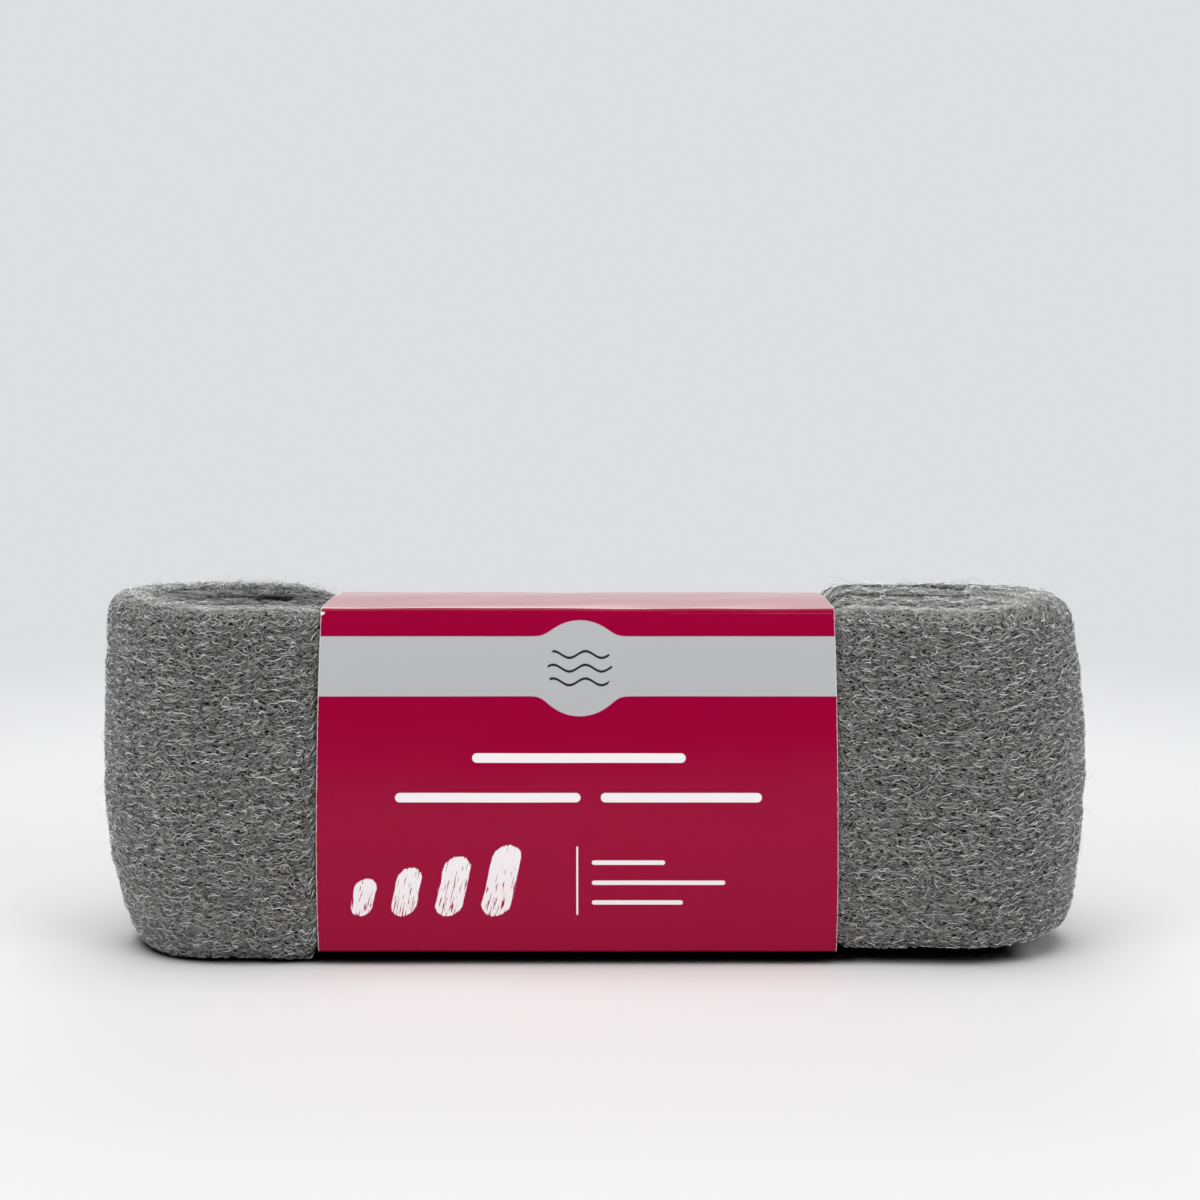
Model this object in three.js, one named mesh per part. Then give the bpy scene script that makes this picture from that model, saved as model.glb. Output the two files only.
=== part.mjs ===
// A roll of fine steel wool: one long ribbon of crimped steel fibre, wound flat and stood on its
// edge, held by a folded card sleeve around its middle.
// Millimetres, +Z up. The origin is on the table under the middle of the roll, +X runs along the
// roll, and +Y runs from the printed face to the back.
import * as THREE from "three";

const { clamp, lerp, smoothstep } = THREE.MathUtils;

// Ribbon of wool
const rollLength = 255;
const ribbonWidth = 90;
const ribbonThickness = 9.2; // where the sleeve squeezes it
const looseThickness = 9.9; // where it has sprung open, outside the sleeve
const foldSwell = 0.8; // what the wool gains at the very tip of a fold
const turns = 3;
const turnGap = 0.6; // left between one turn and the next
const upperEdgeRadius = 4.6; // the ribbon's upper long edge has fluffed out
const lowerEdgeRadius = 2.2; // and its lower one has been pressed square by the roll's weight
const mostEdgeShare = 0.45; // of the ribbon's thickness, that a radius may take where it is thin
const combedThickness = 2; // the two ends of the ribbon are drawn out thin
const climbLength = 44; // length over which a turn climbs onto the one below, behind the sleeve
const climbShift = -12; // where the middle of that climb is, along the roll
const eyeReach = 11; // length over which the innermost turn parts to form an eye

// Slump of the roll: its sides are fullest low down and draw in to the top and the foot
const bellyHeight = 30;
const sleeveTopPull = 7.6;
const sleeveFootPull = 4.4;
const looseFootPull = 7;
const tipBellyHeight = 42;

// Left end: the core has sunk, and the back rim stands up
const leftEyeLength = 3;
const leftEyeWidth = 2;
const leftTopPull = 2.5;
const leftTipTopPull = 0.8;
const leftTipFootPull = 8.7;
const leftSpringReach = 17; // length over which the edges spring back to their own height
const leftFrontSag = 1.8; // front rim below the ribbon's nominal width
const leftTipRise = 1.6;
const leftBackRise = 0.9;
const leftCoreRise = -2.2;
const leftLift = 1.2; // outer turn above the table, at the front
const leftTipLift = -1.2; // and so much more at the tip

// Right end: the core has risen, and the outer turn has lifted off the table
const rightEyeLength = 6;
const rightEyeWidth = 4.4;
const rightTopPull = 5;
const rightTipTopPull = 4;
const rightTipFootPull = 5;
const rightSpringReach = 16;
const rightFrontSag = 2.4;
const rightTipRise = 0.2;
const rightBackRise = 0.2;
const rightCoreRise = 2.6;
const rightLift = 6;
const rightTipLift = 1.8;

// Card sleeve
const sleeveWidth = 128.4;
const sleeveShift = -4.1;
const sleeveSqueeze = 2.2; // upper folds below the ribbon's nominal width
const sleeveFoot = 3.5; // lower folds above the table
const sleeveCrown = 1.1; // rise of the top panel between its folds
const sleeveRest = 18; // width of the strip that lies flat on the table
const sleeveClearance = 0.4;
const cardThickness = 0.4;
const creaseRadius = 0.9;
const leastCreaseShare = 0.33; // of that radius, left on the inside of a fold
const lapWidth = 14; // glued lap, low on the back
const lapFoot = 10;
const lapRamp = 2; // length in which the outer layer steps over the end of the inner one

// Fineness of the curves
const foldSteps = 12;
const springSteps = 4;
const partSteps = 3;
const climbSteps = 6;
const sideLevels = 6;
const cornerSteps = 3;
const faceSteps = 12;
const panelSteps = 10;
const creaseSteps = 3;

const halfLength = rollLength / 2;
const squeezedPitch = ribbonThickness + turnGap;
const squeezedHalfDepth = turns * squeezedPitch - turnGap / 2;
const loosePitch = looseThickness + turnGap;
const tipThickness = looseThickness + foldSwell;
const tipPitch = tipThickness + turnGap;
const upperFold = ribbonWidth - sleeveSqueeze;
const sleeveMargin = sleeveClearance + cardThickness;

// Adds the places that follow from an end's own sizes: the fold's centre and the sleeve's edge.
function rollEnd(sizes) {
  const tipReach = sizes.eyeLength / 2 + turns * tipPitch - turnGap;
  return {
    ...sizes,
    foldX: sizes.side * (halfLength - tipReach),
    sleeveX: sleeveShift + sizes.side * (sleeveWidth / 2 + sleeveClearance),
    halfDepth: sizes.eyeWidth / 2 + turns * loosePitch - turnGap,
  };
}

const leftEnd = rollEnd({
  side: -1,
  eyeLength: leftEyeLength,
  eyeWidth: leftEyeWidth,
  topPull: leftTopPull,
  tipTopPull: leftTipTopPull,
  tipFootPull: leftTipFootPull,
  springReach: leftSpringReach,
  frontRim: ribbonWidth - leftFrontSag,
  tipRim: ribbonWidth + leftTipRise,
  backRim: ribbonWidth + leftBackRise,
  coreRise: leftCoreRise,
  lift: leftLift,
  tipLift: leftTipLift,
});
const rightEnd = rollEnd({
  side: 1,
  eyeLength: rightEyeLength,
  eyeWidth: rightEyeWidth,
  topPull: rightTopPull,
  tipTopPull: rightTipTopPull,
  tipFootPull: rightTipFootPull,
  springReach: rightSpringReach,
  frontRim: ribbonWidth - rightFrontSag,
  tipRim: ribbonWidth + rightTipRise,
  backRim: ribbonWidth + rightBackRise,
  coreRise: rightCoreRise,
  lift: rightLift,
  tipLift: rightTipLift,
});

const endAt = (x) => (x < sleeveShift ? leftEnd : rightEnd);

// 0 under the sleeve, 1 from the fold's centre outwards.
function freedomAt(x) {
  const end = endAt(x);
  return smoothstep((x - end.sleeveX) / (end.foldX - end.sleeveX), 0, 1);
}

// 0 under the sleeve, 1 where the ribbon's edges have sprung back to their own heights.
function springAt(x) {
  const end = endAt(x);
  return smoothstep(end.side * (x - end.sleeveX), 0, end.springReach);
}

// 0 at the fold's centre, 1 at the tip of the roll.
function tipShareAt(x) {
  const end = endAt(x);
  return smoothstep(end.side * x, end.side * end.foldX, halfLength);
}

// How far a side draws in at height z: a parabola above its fullest height and one below.
function drawIn(z, fullest, topPull, footPull) {
  if (z > fullest) return topPull * ((z - fullest) / (upperFold - fullest)) ** 2;
  return footPull * ((fullest - z) / fullest) ** 2;
}

// Moves a point of the upright ribbon to where the slumped roll has it.
function slump(x, y, z) {
  const end = endAt(x);
  const freedom = freedomAt(x);
  const topPull = lerp(sleeveTopPull, end.topPull, freedom);
  const footPull = lerp(sleeveFootPull, looseFootPull, freedom);
  const sidePull = drawIn(z, bellyHeight, topPull, footPull);
  const tipPull = drawIn(z, tipBellyHeight, end.tipTopPull, end.tipFootPull) * tipShareAt(x);
  return new THREE.Vector3(x - end.side * tipPull, y * (1 - sidePull / squeezedHalfDepth), z);
}

// Half the sleeve's outer depth at height z.
function sleeveHalfDepth(z) {
  return squeezedHalfDepth + sleeveMargin - drawIn(z, bellyHeight, sleeveTopPull, sleeveFootPull);
}

// Height of the sleeve's domed top panel at depth y.
function lidHeight(y) {
  const across = Math.min(1, Math.abs(y) / sleeveHalfDepth(upperFold));
  return upperFold + sleeveCrown * (1 - across ** 2);
}

// Height of the sleeve's bottom panel at depth y: flat in the middle, curling up to its folds.
function floorHeight(y) {
  const flat = sleeveRest / 2;
  const across = Math.max(0, Math.abs(y) - flat) / (sleeveHalfDepth(sleeveFoot) - flat);
  return sleeveFoot * across ** 2;
}

// Height of the ribbon's upper edge where its centreline passes over (x, y).
function upperEdge(x, y, turn) {
  const end = endAt(x);
  const across = clamp((y / end.halfDepth + 1) / 2, 0, 1);
  const sideRim = lerp(end.frontRim, end.backRim, across);
  const rim = lerp(sideRim, end.tipRim, tipShareAt(x) / 2);
  const core = end.coreRise * (1 - turn / Math.max(1, turns - 1));
  const outerFace = (Math.abs(y) + ribbonThickness / 2) / squeezedHalfDepth;
  const held = lidHeight(outerFace * sleeveHalfDepth(upperFold)) - sleeveMargin;
  return lerp(held, rim + core, springAt(x));
}

// Height of its lower edge. The outer turn may stand off the table at the front and the tip.
function lowerEdge(x, y, turn) {
  const end = endAt(x);
  const held = floorHeight(Math.abs(y) + ribbonThickness / 2) + sleeveMargin;
  const facing = 1 - smoothstep(y, 0, end.halfDepth);
  const lifted = Math.max(0, end.lift * facing + end.tipLift * tipShareAt(x));
  return lerp(held, turn === turns - 1 ? lifted : 0, springAt(x));
}

// The ribbon's path in plan, from its inner end to its outer end. Each stretch has its curve, the
// number of steps it is drawn in, its turn, and the ribbon's thickness along it.
function ribbonPath() {
  const stretches = [];
  const at = (x, y) => new THREE.Vector2(x, y);
  const squeezedY = (turn) => turnGap / 2 + ribbonThickness / 2 + turn * squeezedPitch;
  const sprungY = (turn) => turnGap / 2 + looseThickness / 2 + turn * loosePitch;
  const partedY = (end, turn) => end.eyeWidth / 2 + looseThickness / 2 + turn * loosePitch;
  const squeezed = () => ribbonThickness;
  const loose = () => looseThickness;
  const springing = (t) => lerp(ribbonThickness, looseThickness, t);
  const closing = (t) => springing(1 - t);
  const folded = (t) => looseThickness + foldSwell * Math.sin(Math.PI * t);
  const thickening = (t) => lerp(combedThickness, ribbonThickness, t);
  const thinning = (t) => thickening(1 - t);

  // From one place to another, setting off and arriving along the roll.
  function easedCurve(from, to) {
    const middle = (from.x + to.x) / 2;
    return new THREE.CubicBezierCurve(from, at(middle, from.y), at(middle, to.y), to);
  }

  function add(curve, steps, turn, thicknessAt) {
    stretches.push({ curve, steps, turn, thicknessAt });
  }

  // From the sleeve on one face, round the end of the roll, to the sleeve on the other face. The
  // wool springs open past the sleeve's edge, and then parts round the eye.
  function turnRound(end, turn, face) {
    const sleeve = at(end.sleeveX, face * squeezedY(turn));
    const sprung = at(end.foldX - end.side * eyeReach, face * sprungY(turn));
    const parted = at(end.foldX, face * partedY(end, turn));
    const across = (place) => at(place.x, -place.y);
    const radiusX = end.eyeLength / 2 + tipThickness / 2 + turn * tipPitch;
    const radiusY = partedY(end, turn);
    const start = face * (Math.PI / 2);
    const stop = end.side > 0 ? -start : 2 * face * Math.PI - start;
    const clockwise = stop < start;
    const fold = new THREE.EllipseCurve(end.foldX, 0, radiusX, radiusY, start, stop, clockwise);
    add(easedCurve(sleeve, sprung), springSteps, turn, springing);
    add(easedCurve(sprung, parted), partSteps, turn, loose);
    add(fold, foldSteps, turn, folded);
    add(easedCurve(across(parted), across(sprung)), partSteps, turn, loose);
    add(easedCurve(across(sprung), across(sleeve)), springSteps, turn, closing);
  }

  const climbFrom = climbShift - climbLength / 2;
  const climbTo = climbShift + climbLength / 2;
  const combedOffset = (ribbonThickness - combedThickness) / 2;
  const innerStart = at(climbShift, squeezedY(0) - combedOffset);
  add(new THREE.LineCurve(innerStart, at(climbTo, squeezedY(0))), climbSteps / 2, 0, thickening);
  for (let turn = 0; turn < turns; turn++) {
    const y = squeezedY(turn);
    add(new THREE.LineCurve(at(climbTo, y), at(rightEnd.sleeveX, y)), 1, turn, squeezed);
    turnRound(rightEnd, turn, 1);
    const front = new THREE.LineCurve(at(rightEnd.sleeveX, -y), at(leftEnd.sleeveX, -y));
    add(front, 2, turn, squeezed);
    turnRound(leftEnd, turn, -1);
    add(new THREE.LineCurve(at(leftEnd.sleeveX, y), at(climbFrom, y)), 1, turn, squeezed);
    if (turn < turns - 1) {
      const over = at(climbTo, squeezedY(turn + 1));
      add(easedCurve(at(climbFrom, y), over), climbSteps, turn, squeezed);
    }
  }
  const outerY = squeezedY(turns - 1);
  const outerStop = at(climbShift, outerY + combedOffset);
  add(new THREE.LineCurve(at(climbFrom, outerY), outerStop), climbSteps / 2, turns - 1, thinning);
  return stretches;
}

// Section of the ribbon: x is how far a point is outwards of the centreline, y is its height. It
// runs round the four soft corners, with a few levels up each side.
function ribbonSection(thickness, foot, head) {
  const upper = Math.min(upperEdgeRadius, thickness * mostEdgeShare);
  const lower = Math.min(lowerEdgeRadius, thickness * mostEdgeShare);
  const half = thickness / 2;
  const corners = [
    { x: half - upper, y: head - upper, radius: upper },
    { x: upper - half, y: head - upper, radius: upper },
    { x: lower - half, y: foot + lower, radius: lower },
    { x: half - lower, y: foot + lower, radius: lower },
  ];
  const section = [];
  corners.forEach(({ x, y, radius }, quarter) => {
    for (let i = 0; i <= cornerSteps; i++) {
      const angle = (quarter + i / cornerSteps) * (Math.PI / 2);
      const outwards = x + radius * Math.cos(angle);
      section.push(new THREE.Vector2(outwards, y + radius * Math.sin(angle)));
    }
    if (quarter % 2 === 0) return;
    const last = section.at(-1);
    const nextY = corners[(quarter + 1) % corners.length].y;
    for (let i = 1; i < sideLevels; i++) {
      section.push(new THREE.Vector2(last.x, lerp(last.y, nextY, i / sideLevels)));
    }
  });
  return section;
}

// The ribbon's section at each step of its path, and the same ring of points in place.
function ribbonRings() {
  const rings = [];
  const draw = ({ curve, turn, thicknessAt }, t) => {
    const centre = curve.getPoint(t);
    const heading = curve.getTangent(t);
    const foot = lowerEdge(centre.x, centre.y, turn);
    const head = upperEdge(centre.x, centre.y, turn);
    const section = ribbonSection(thicknessAt(t), foot, head);
    const ring = section.map(({ x: outwards, y: height }) =>
      slump(centre.x - outwards * heading.y, centre.y + outwards * heading.x, height),
    );
    rings.push({ section, ring });
  };
  const stretches = ribbonPath();
  for (const stretch of stretches) {
    for (let i = 0; i < stretch.steps; i++) draw(stretch, i / stretch.steps);
  }
  draw(stretches.at(-1), 1);
  return rings;
}

// Skins a row of rings and closes its two ends.
function loft(rings) {
  const count = rings[0].ring.length;
  const last = (rings.length - 1) * count;
  const positions = rings.flatMap(({ ring }) => ring.flatMap((point) => point.toArray()));
  const index = [];
  for (let start = 0; start < last; start += count) {
    for (let i = 0; i < count; i++) {
      const a = start + i;
      const b = start + ((i + 1) % count);
      index.push(a, b, a + count, b, b + count, a + count);
    }
  }
  for (const [a, b, c] of THREE.ShapeUtils.triangulateShape(rings[0].section, [])) {
    index.push(c, b, a, last + a, last + b, last + c);
  }
  const geometry = new THREE.BufferGeometry();
  geometry.setAttribute("position", new THREE.Float32BufferAttribute(positions, 3));
  geometry.setIndex(index);
  geometry.computeVertexNormals();
  return geometry;
}

// Outline of the sleeve seen from the end of the roll: x is depth, y is height. Inset 0 gives its
// outer face, with the lap, and the card's thickness gives its inner face.
function sleeveOutline(inset) {
  const at = (x, y) => new THREE.Vector2(x, y);
  const face = (z) => sleeveHalfDepth(z) - inset;
  const lid = (y) => at(y, lidHeight(y) - inset);
  const floor = (y) => at(y, floorHeight(y) + inset);
  const radius = Math.max(creaseRadius - inset, creaseRadius * leastCreaseShare);
  const low = sleeveFoot + inset;
  const high = upperFold - inset;
  const topReach = face(high) - radius;
  const footReach = face(low) - radius;
  const lapHead = lapFoot + lapWidth;

  const creaseFrom = (from, corner, to) =>
    new THREE.QuadraticBezierCurve(from, corner, to).getPoints(creaseSteps);
  const frontLow = at(-face(low + radius), low + radius);
  const frontHigh = at(-face(high - radius), high - radius);
  const backHigh = at(face(high - radius), high - radius);
  const backLow = at(face(low + radius), low + radius);

  const front = [];
  const back = [];
  for (let i = 1; i < faceSteps; i++) {
    const z = lerp(low, high, i / faceSteps);
    const lapped = inset === 0 && z >= lapFoot - lapRamp && z <= lapHead;
    front.push(at(-face(z), z));
    if (!lapped) back.push(at(face(z), z));
  }
  if (inset === 0) {
    back.push(
      at(face(lapFoot - lapRamp), lapFoot - lapRamp),
      at(face(lapFoot) + cardThickness, lapFoot),
      at(face(lapHead) + cardThickness, lapHead),
      at(face(lapHead), lapHead),
    );
  }
  back.sort((a, b) => b.y - a.y || a.x - b.x);

  const topPanel = [];
  const footPanel = [floor(sleeveRest / 2), floor(-sleeveRest / 2)];
  for (let i = 1; i < panelSteps; i++) {
    topPanel.push(lid(lerp(-face(high), face(high), i / panelSteps)));
    const foot = lerp(face(low), -face(low), i / panelSteps);
    if (Math.abs(foot) > sleeveRest / 2) footPanel.push(floor(foot));
  }
  footPanel.sort((a, b) => b.x - a.x);

  return [
    ...creaseFrom(floor(-footReach), at(-face(low), low), frontLow),
    ...front,
    ...creaseFrom(frontHigh, at(-face(high), high), lid(-topReach)),
    ...topPanel,
    ...creaseFrom(lid(topReach), at(face(high), high), backHigh),
    ...back,
    ...creaseFrom(backLow, at(face(low), low), floor(footReach)),
    ...footPanel,
  ];
}

function sleeveGeometry() {
  const shape = new THREE.Shape(sleeveOutline(0));
  shape.holes.push(new THREE.Path(sleeveOutline(cardThickness).reverse()));
  return new THREE.ExtrudeGeometry(shape, { depth: sleeveWidth, bevelEnabled: false });
}

const steelWool = new THREE.MeshStandardMaterial({
  name: "steel_wool",
  color: 0x6b6b69,
  roughness: 0.62,
  metalness: 0.85,
});
const varnishedCard = new THREE.MeshStandardMaterial({
  name: "varnished_card",
  color: 0x990030,
  roughness: 0.4,
  metalness: 0,
});

const roll = new THREE.Mesh(loft(ribbonRings()), steelWool);
roll.name = "steel_wool_roll";

// The outline lies in the YZ plane and is drawn out along +X.
const sleeve = new THREE.Mesh(sleeveGeometry(), varnishedCard);
sleeve.name = "card_sleeve";
sleeve.rotation.set(Math.PI / 2, Math.PI / 2, 0);
sleeve.position.x = sleeveShift - sleeveWidth / 2;

const part = new THREE.Group();
part.add(roll, sleeve);
export default part;
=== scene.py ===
# %% [markdown]
# # A roll of fine steel wool in its card sleeve
#
# Steel wool is shaved from drawn wire, so its fibres are three-cornered, crimped and bright. They
# lie along a ribbon about 90 mm wide. Three turns of that ribbon, wound flat and stood on edge,
# make the roll, and a printed card sleeve holds it. This lesson winds the ribbon as one mesh, lays
# some forty-six thousand fibres on it, and folds and prints the sleeve around it.

# %% Load the frame
import math

import bpy
import numpy as np
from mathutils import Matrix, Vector


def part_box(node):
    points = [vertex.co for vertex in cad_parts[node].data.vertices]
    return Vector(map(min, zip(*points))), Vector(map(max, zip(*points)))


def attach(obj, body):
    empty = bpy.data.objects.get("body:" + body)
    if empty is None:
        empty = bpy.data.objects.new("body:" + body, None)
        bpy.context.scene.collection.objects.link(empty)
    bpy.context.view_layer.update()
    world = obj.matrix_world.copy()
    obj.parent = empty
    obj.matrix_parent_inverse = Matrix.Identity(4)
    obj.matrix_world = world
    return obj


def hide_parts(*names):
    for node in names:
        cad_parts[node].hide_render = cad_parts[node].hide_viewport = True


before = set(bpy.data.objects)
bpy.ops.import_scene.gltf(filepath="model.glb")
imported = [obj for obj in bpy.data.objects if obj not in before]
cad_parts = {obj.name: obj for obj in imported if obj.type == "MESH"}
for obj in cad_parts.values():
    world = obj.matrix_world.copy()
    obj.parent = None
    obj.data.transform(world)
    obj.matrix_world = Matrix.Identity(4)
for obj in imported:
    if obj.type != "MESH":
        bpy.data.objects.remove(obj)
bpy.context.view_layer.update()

print("frame:", sorted(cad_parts))

# %% [markdown]
# Every shape here is worked out in millimetres, as a maker would give it, and turned to Blender's
# metres when its mesh is made. A single seeded source of random numbers gives the same wool on
# every run.

# %% Millimetres, random numbers and a mesh maker
MM = 0.001
rng = np.random.default_rng(4)


def make_piece(name, points, faces, materials, smooth=True):
    """A mesh object from points in millimetres, with its materials."""
    mesh = bpy.data.meshes.new(name)
    mesh.from_pydata((np.asarray(points) * MM).tolist(), [], faces)
    for material in materials:
        mesh.materials.append(material)
    if smooth:
        mesh.shade_smooth()
    piece = bpy.data.objects.new(name, mesh)
    bpy.context.scene.collection.objects.link(piece)
    return piece


def store(piece, name, kind, values):
    """Keeps a number or a vector for each point of a mesh, for its material to read."""
    attribute = piece.data.attributes.new(name, kind, "POINT")
    values = np.ravel(values).astype(np.float32)
    attribute.data.foreach_set("vector" if kind == "FLOAT_VECTOR" else "value", values)


# %% [markdown]
# Materials are trees of nodes. One small function adds a node with its settings and its inputs. An
# input is a plain value, the output of another node, or a node, whose first output is then meant.
# Where a node has an operation, its name alone is setting enough, and a list fills the inputs in
# their order. Colours are written as sRGB hex, as in a paint program, and turned to the linear
# numbers that Blender mixes light with.

# %% Two helpers for materials
def linear(colour):
    """sRGB hex, such as '#6b6b69', to linear red, green, blue and alpha."""
    parts = [int(colour[i : i + 2], 16) / 255 for i in (1, 3, 5)]
    return (*[c / 12.92 if c <= 0.04045 else ((c + 0.055) / 1.055) ** 2.4 for c in parts], 1.0)


def add(tree, kind, settings=(), inputs=()):
    """Adds a shader node of that kind, sets it up, and links or sets its inputs."""
    node = tree.nodes.new("ShaderNode" + kind)
    if isinstance(settings, str):
        settings = {"operation": settings}
    if isinstance(inputs, list):
        inputs = enumerate(inputs)
    for name, value in dict(settings).items():
        setattr(node, name, value)
    for name, value in dict(inputs).items():
        if isinstance(value, bpy.types.Node):
            value = value.outputs[0]
        if isinstance(value, bpy.types.NodeSocket):
            tree.links.new(value, node.inputs[name])
        else:
            node.inputs[name].default_value = value
    return node


def new_material(name):
    """A material with an empty tree."""
    material = bpy.data.materials.new(name)
    material.use_nodes = True
    material.node_tree.nodes.clear()
    return material, material.node_tree


# %% [markdown]
# The photograph was taken from half a metre away, level with the table and a little above the
# roll, with its frame shifted down instead of the camera tilted, because the roll's upright lines
# stay parallel. Its horizon is well above the middle of the picture.

# %% The camera: millimetres, and pixels of the photograph
EYE = (1.5, -462.3, 132.5)
FOCAL_LENGTH = 52.8
SENSOR = 36.0
HORIZON_PIXEL = 430
PICTURE = 1200
NEAREST_SEEN = 10.0

lens = bpy.data.cameras.new("camera")
lens.lens = FOCAL_LENGTH
lens.sensor_width = SENSOR
lens.shift_y = (HORIZON_PIXEL - PICTURE / 2) / PICTURE
lens.clip_start = NEAREST_SEEN * MM
camera = bpy.data.objects.new("camera", lens)
camera.location = [v * MM for v in EYE]
camera.rotation_euler = (math.pi / 2, 0, 0)
bpy.context.scene.collection.objects.link(camera)
bpy.context.scene.camera = camera
bpy.context.scene.view_settings.view_transform = "Standard"
print("camera sees", round(math.degrees(lens.angle), 1), "degrees across")

# %% [markdown]
# The studio is a pale table that fades into a pale backdrop with no edge. A real sweep of paper
# does that with a curve. Here the table is a wide disc whose own colour is exchanged for the
# backdrop's with distance from the roll, which works from every side. The exchange only shows to
# the camera and in reflections, so the lamps alone light the roll. The thin line under the roll is
# nearly black in the photograph, though the table just in front of it is bright. So an ambient
# occlusion node finds the places that are covered from above, and only those are darkened, less
# so under the lifted right end, where light gets in.

# %% The table and the backdrop: distances in metres, COVERED and OPEN are shares of open sky
BACKDROP = "#dddee1"
TABLE = "#f4f4f5"
# The colour of the painted shadow under the roll.
PAINTED_CONTACT_SHADOW = "#101010"
FADE_START, FADE_END = 0.28, 0.75
CONTACT_REACH = 0.012
COVERED, OPEN = 0.22, 0.50
LIFTED_FROM, LIFTED_TO = 0.104, 0.112
LET_IN = 0.75
TABLE_RADIUS = 6.0
TABLE_CORNERS = 96

table_paint, tree = new_material("pale_table_top")
place = add(tree, "TexCoord")
length = add(tree, "VectorMath", "LENGTH", [place.outputs["Object"]])
fade = add(tree, "MapRange", {"interpolation_type": "SMOOTHSTEP"}, {
    "Value": length.outputs["Value"], "From Min": FADE_START, "From Max": FADE_END,
})
ray = add(tree, "LightPath")
seen = add(tree, "Math", "MAXIMUM", [ray.outputs["Is Camera Ray"], ray.outputs["Is Glossy Ray"]])
share = add(tree, "Math", "MULTIPLY", [seen, fade])
# Painted shadow: where ambient occlusion finds the table covered from above, its colour is mixed
# towards near black, less so under the lifted right end.
sky = add(tree, "AmbientOcclusion", {"samples": 8}, {"Distance": CONTACT_REACH})
uncovered = add(tree, "MapRange", {"interpolation_type": "SMOOTHSTEP"}, {
    "Value": sky.outputs["AO"], "From Min": COVERED, "From Max": OPEN,
})
axes = add(tree, "SeparateXYZ", {}, {0: place.outputs["Object"]})
let_in = add(tree, "MapRange", {"interpolation_type": "SMOOTHSTEP"}, {
    "Value": axes.outputs["X"], "From Min": LIFTED_FROM, "From Max": LIFTED_TO, "To Max": LET_IN,
})
open_share = add(tree, "Math", "MAXIMUM", [uncovered, let_in])
top = add(tree, "Mix", {"data_type": "RGBA"}, {
    "Factor": open_share, 6: linear(PAINTED_CONTACT_SHADOW), 7: linear(TABLE),
})
lit = add(tree, "BsdfDiffuse", {}, {"Color": top.outputs[2]})
far = add(tree, "Emission", {}, {"Color": linear(BACKDROP), "Strength": 1.0})
both = add(tree, "MixShader", {}, {0: share, 1: lit, 2: far})
add(tree, "OutputMaterial", {}, {"Surface": both})

angle = np.linspace(0, 2 * math.pi, TABLE_CORNERS, endpoint=False)
disc = np.stack([np.cos(angle), np.sin(angle), 0 * angle], 1) * TABLE_RADIUS / MM
disc_face = list(range(TABLE_CORNERS))
table = make_piece("table_top", disc, [disc_face], [table_paint], smooth=False)
print("table", TABLE_RADIUS * 2, "m across")

# %% [markdown]
# A dull room lies behind the camera, which is why the varnished print looks deep on its upper
# half, and the pale table and backdrop lie below and behind, which is why it looks milky lower
# down and nearly white on top. So the world is pale towards the backdrop, and dim towards the
# camera and overhead. Soft lamps stand to both sides, where the flat print can't mirror them.

# %% The world: how far towards the backdrop a mirrored ray points, from -1 to 1
ROOM = "#303134"
SKYLINE = "#fafafb"
ROOM_ENDS, SKYLINE_STARTS = -0.15, 0.35
WORLD_FILL = 0.27

world = bpy.data.worlds.new("studio")
bpy.context.scene.world = world
world.use_nodes = True
tree = world.node_tree
tree.nodes.clear()
place = add(tree, "TexCoord")
axes = add(tree, "SeparateXYZ", {}, {0: place.outputs["Generated"]})
behind = add(tree, "MapRange", {"interpolation_type": "SMOOTHSTEP"}, {
    "Value": axes.outputs["Y"], "From Min": ROOM_ENDS, "From Max": SKYLINE_STARTS,
})
mirrored = add(tree, "Mix", {"data_type": "RGBA"}, {
    "Factor": behind, 6: linear(ROOM), 7: linear(SKYLINE),
})
ray = add(tree, "LightPath")
filled = add(tree, "Background", {}, {"Color": linear("#ffffff"), "Strength": WORLD_FILL})
glossy = add(tree, "Background", {}, {"Color": mirrored.outputs[2], "Strength": 1.0})
shown = add(tree, "Background", {}, {"Color": linear(BACKDROP), "Strength": 1.0})
first = add(tree, "MixShader", {}, {0: ray.outputs["Is Glossy Ray"], 1: filled, 2: glossy})
last = add(tree, "MixShader", {}, {0: ray.outputs["Is Camera Ray"], 1: first, 2: shown})
add(tree, "OutputWorld", {}, {"Surface": last})

# %% The lamps: place in metres, width and height, and power in watts
LAMPS = {
    "lamp_overhead": ((0.0, -0.12, 1.15), (1.1, 0.9), 7.3),
    "lamp_left": ((-1.05, -0.85, 0.55), (0.7, 0.9), 6.7),
    "lamp_right": ((1.05, -0.85, 0.55), (0.7, 0.9), 6.7),
    "lamp_back": ((0.0, 1.25, 0.85), (1.4, 0.6), 5.5),
}
AIM = Vector((0, 0, 0.05))
for name, (spot, size, power) in LAMPS.items():
    light = bpy.data.lights.new(name, "AREA")
    light.shape = "RECTANGLE"
    light.size, light.size_y = size
    light.energy = power
    lamp = bpy.data.objects.new(name, light)
    lamp.location = spot
    lamp.rotation_euler = (AIM - lamp.location).to_track_quat("-Z", "Y").to_euler()
    bpy.context.scene.collection.objects.link(lamp)
print(len(LAMPS), "lamps")

# %% [markdown]
# The ribbon is wound just as the solid model has it, so this step measures the roll and the sleeve
# in the frame and repeats the sizes that can't be measured there. The sleeve squeezes the wool, and
# outside it the wool springs open, so both ends are fuller than the middle.

# %% Sizes of the roll and its sleeve, in millimetres
roll_low, roll_high = (np.array(corner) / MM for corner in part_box("steel_wool_roll"))
card_low, card_high = (np.array(corner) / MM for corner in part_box("card_sleeve"))

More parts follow.
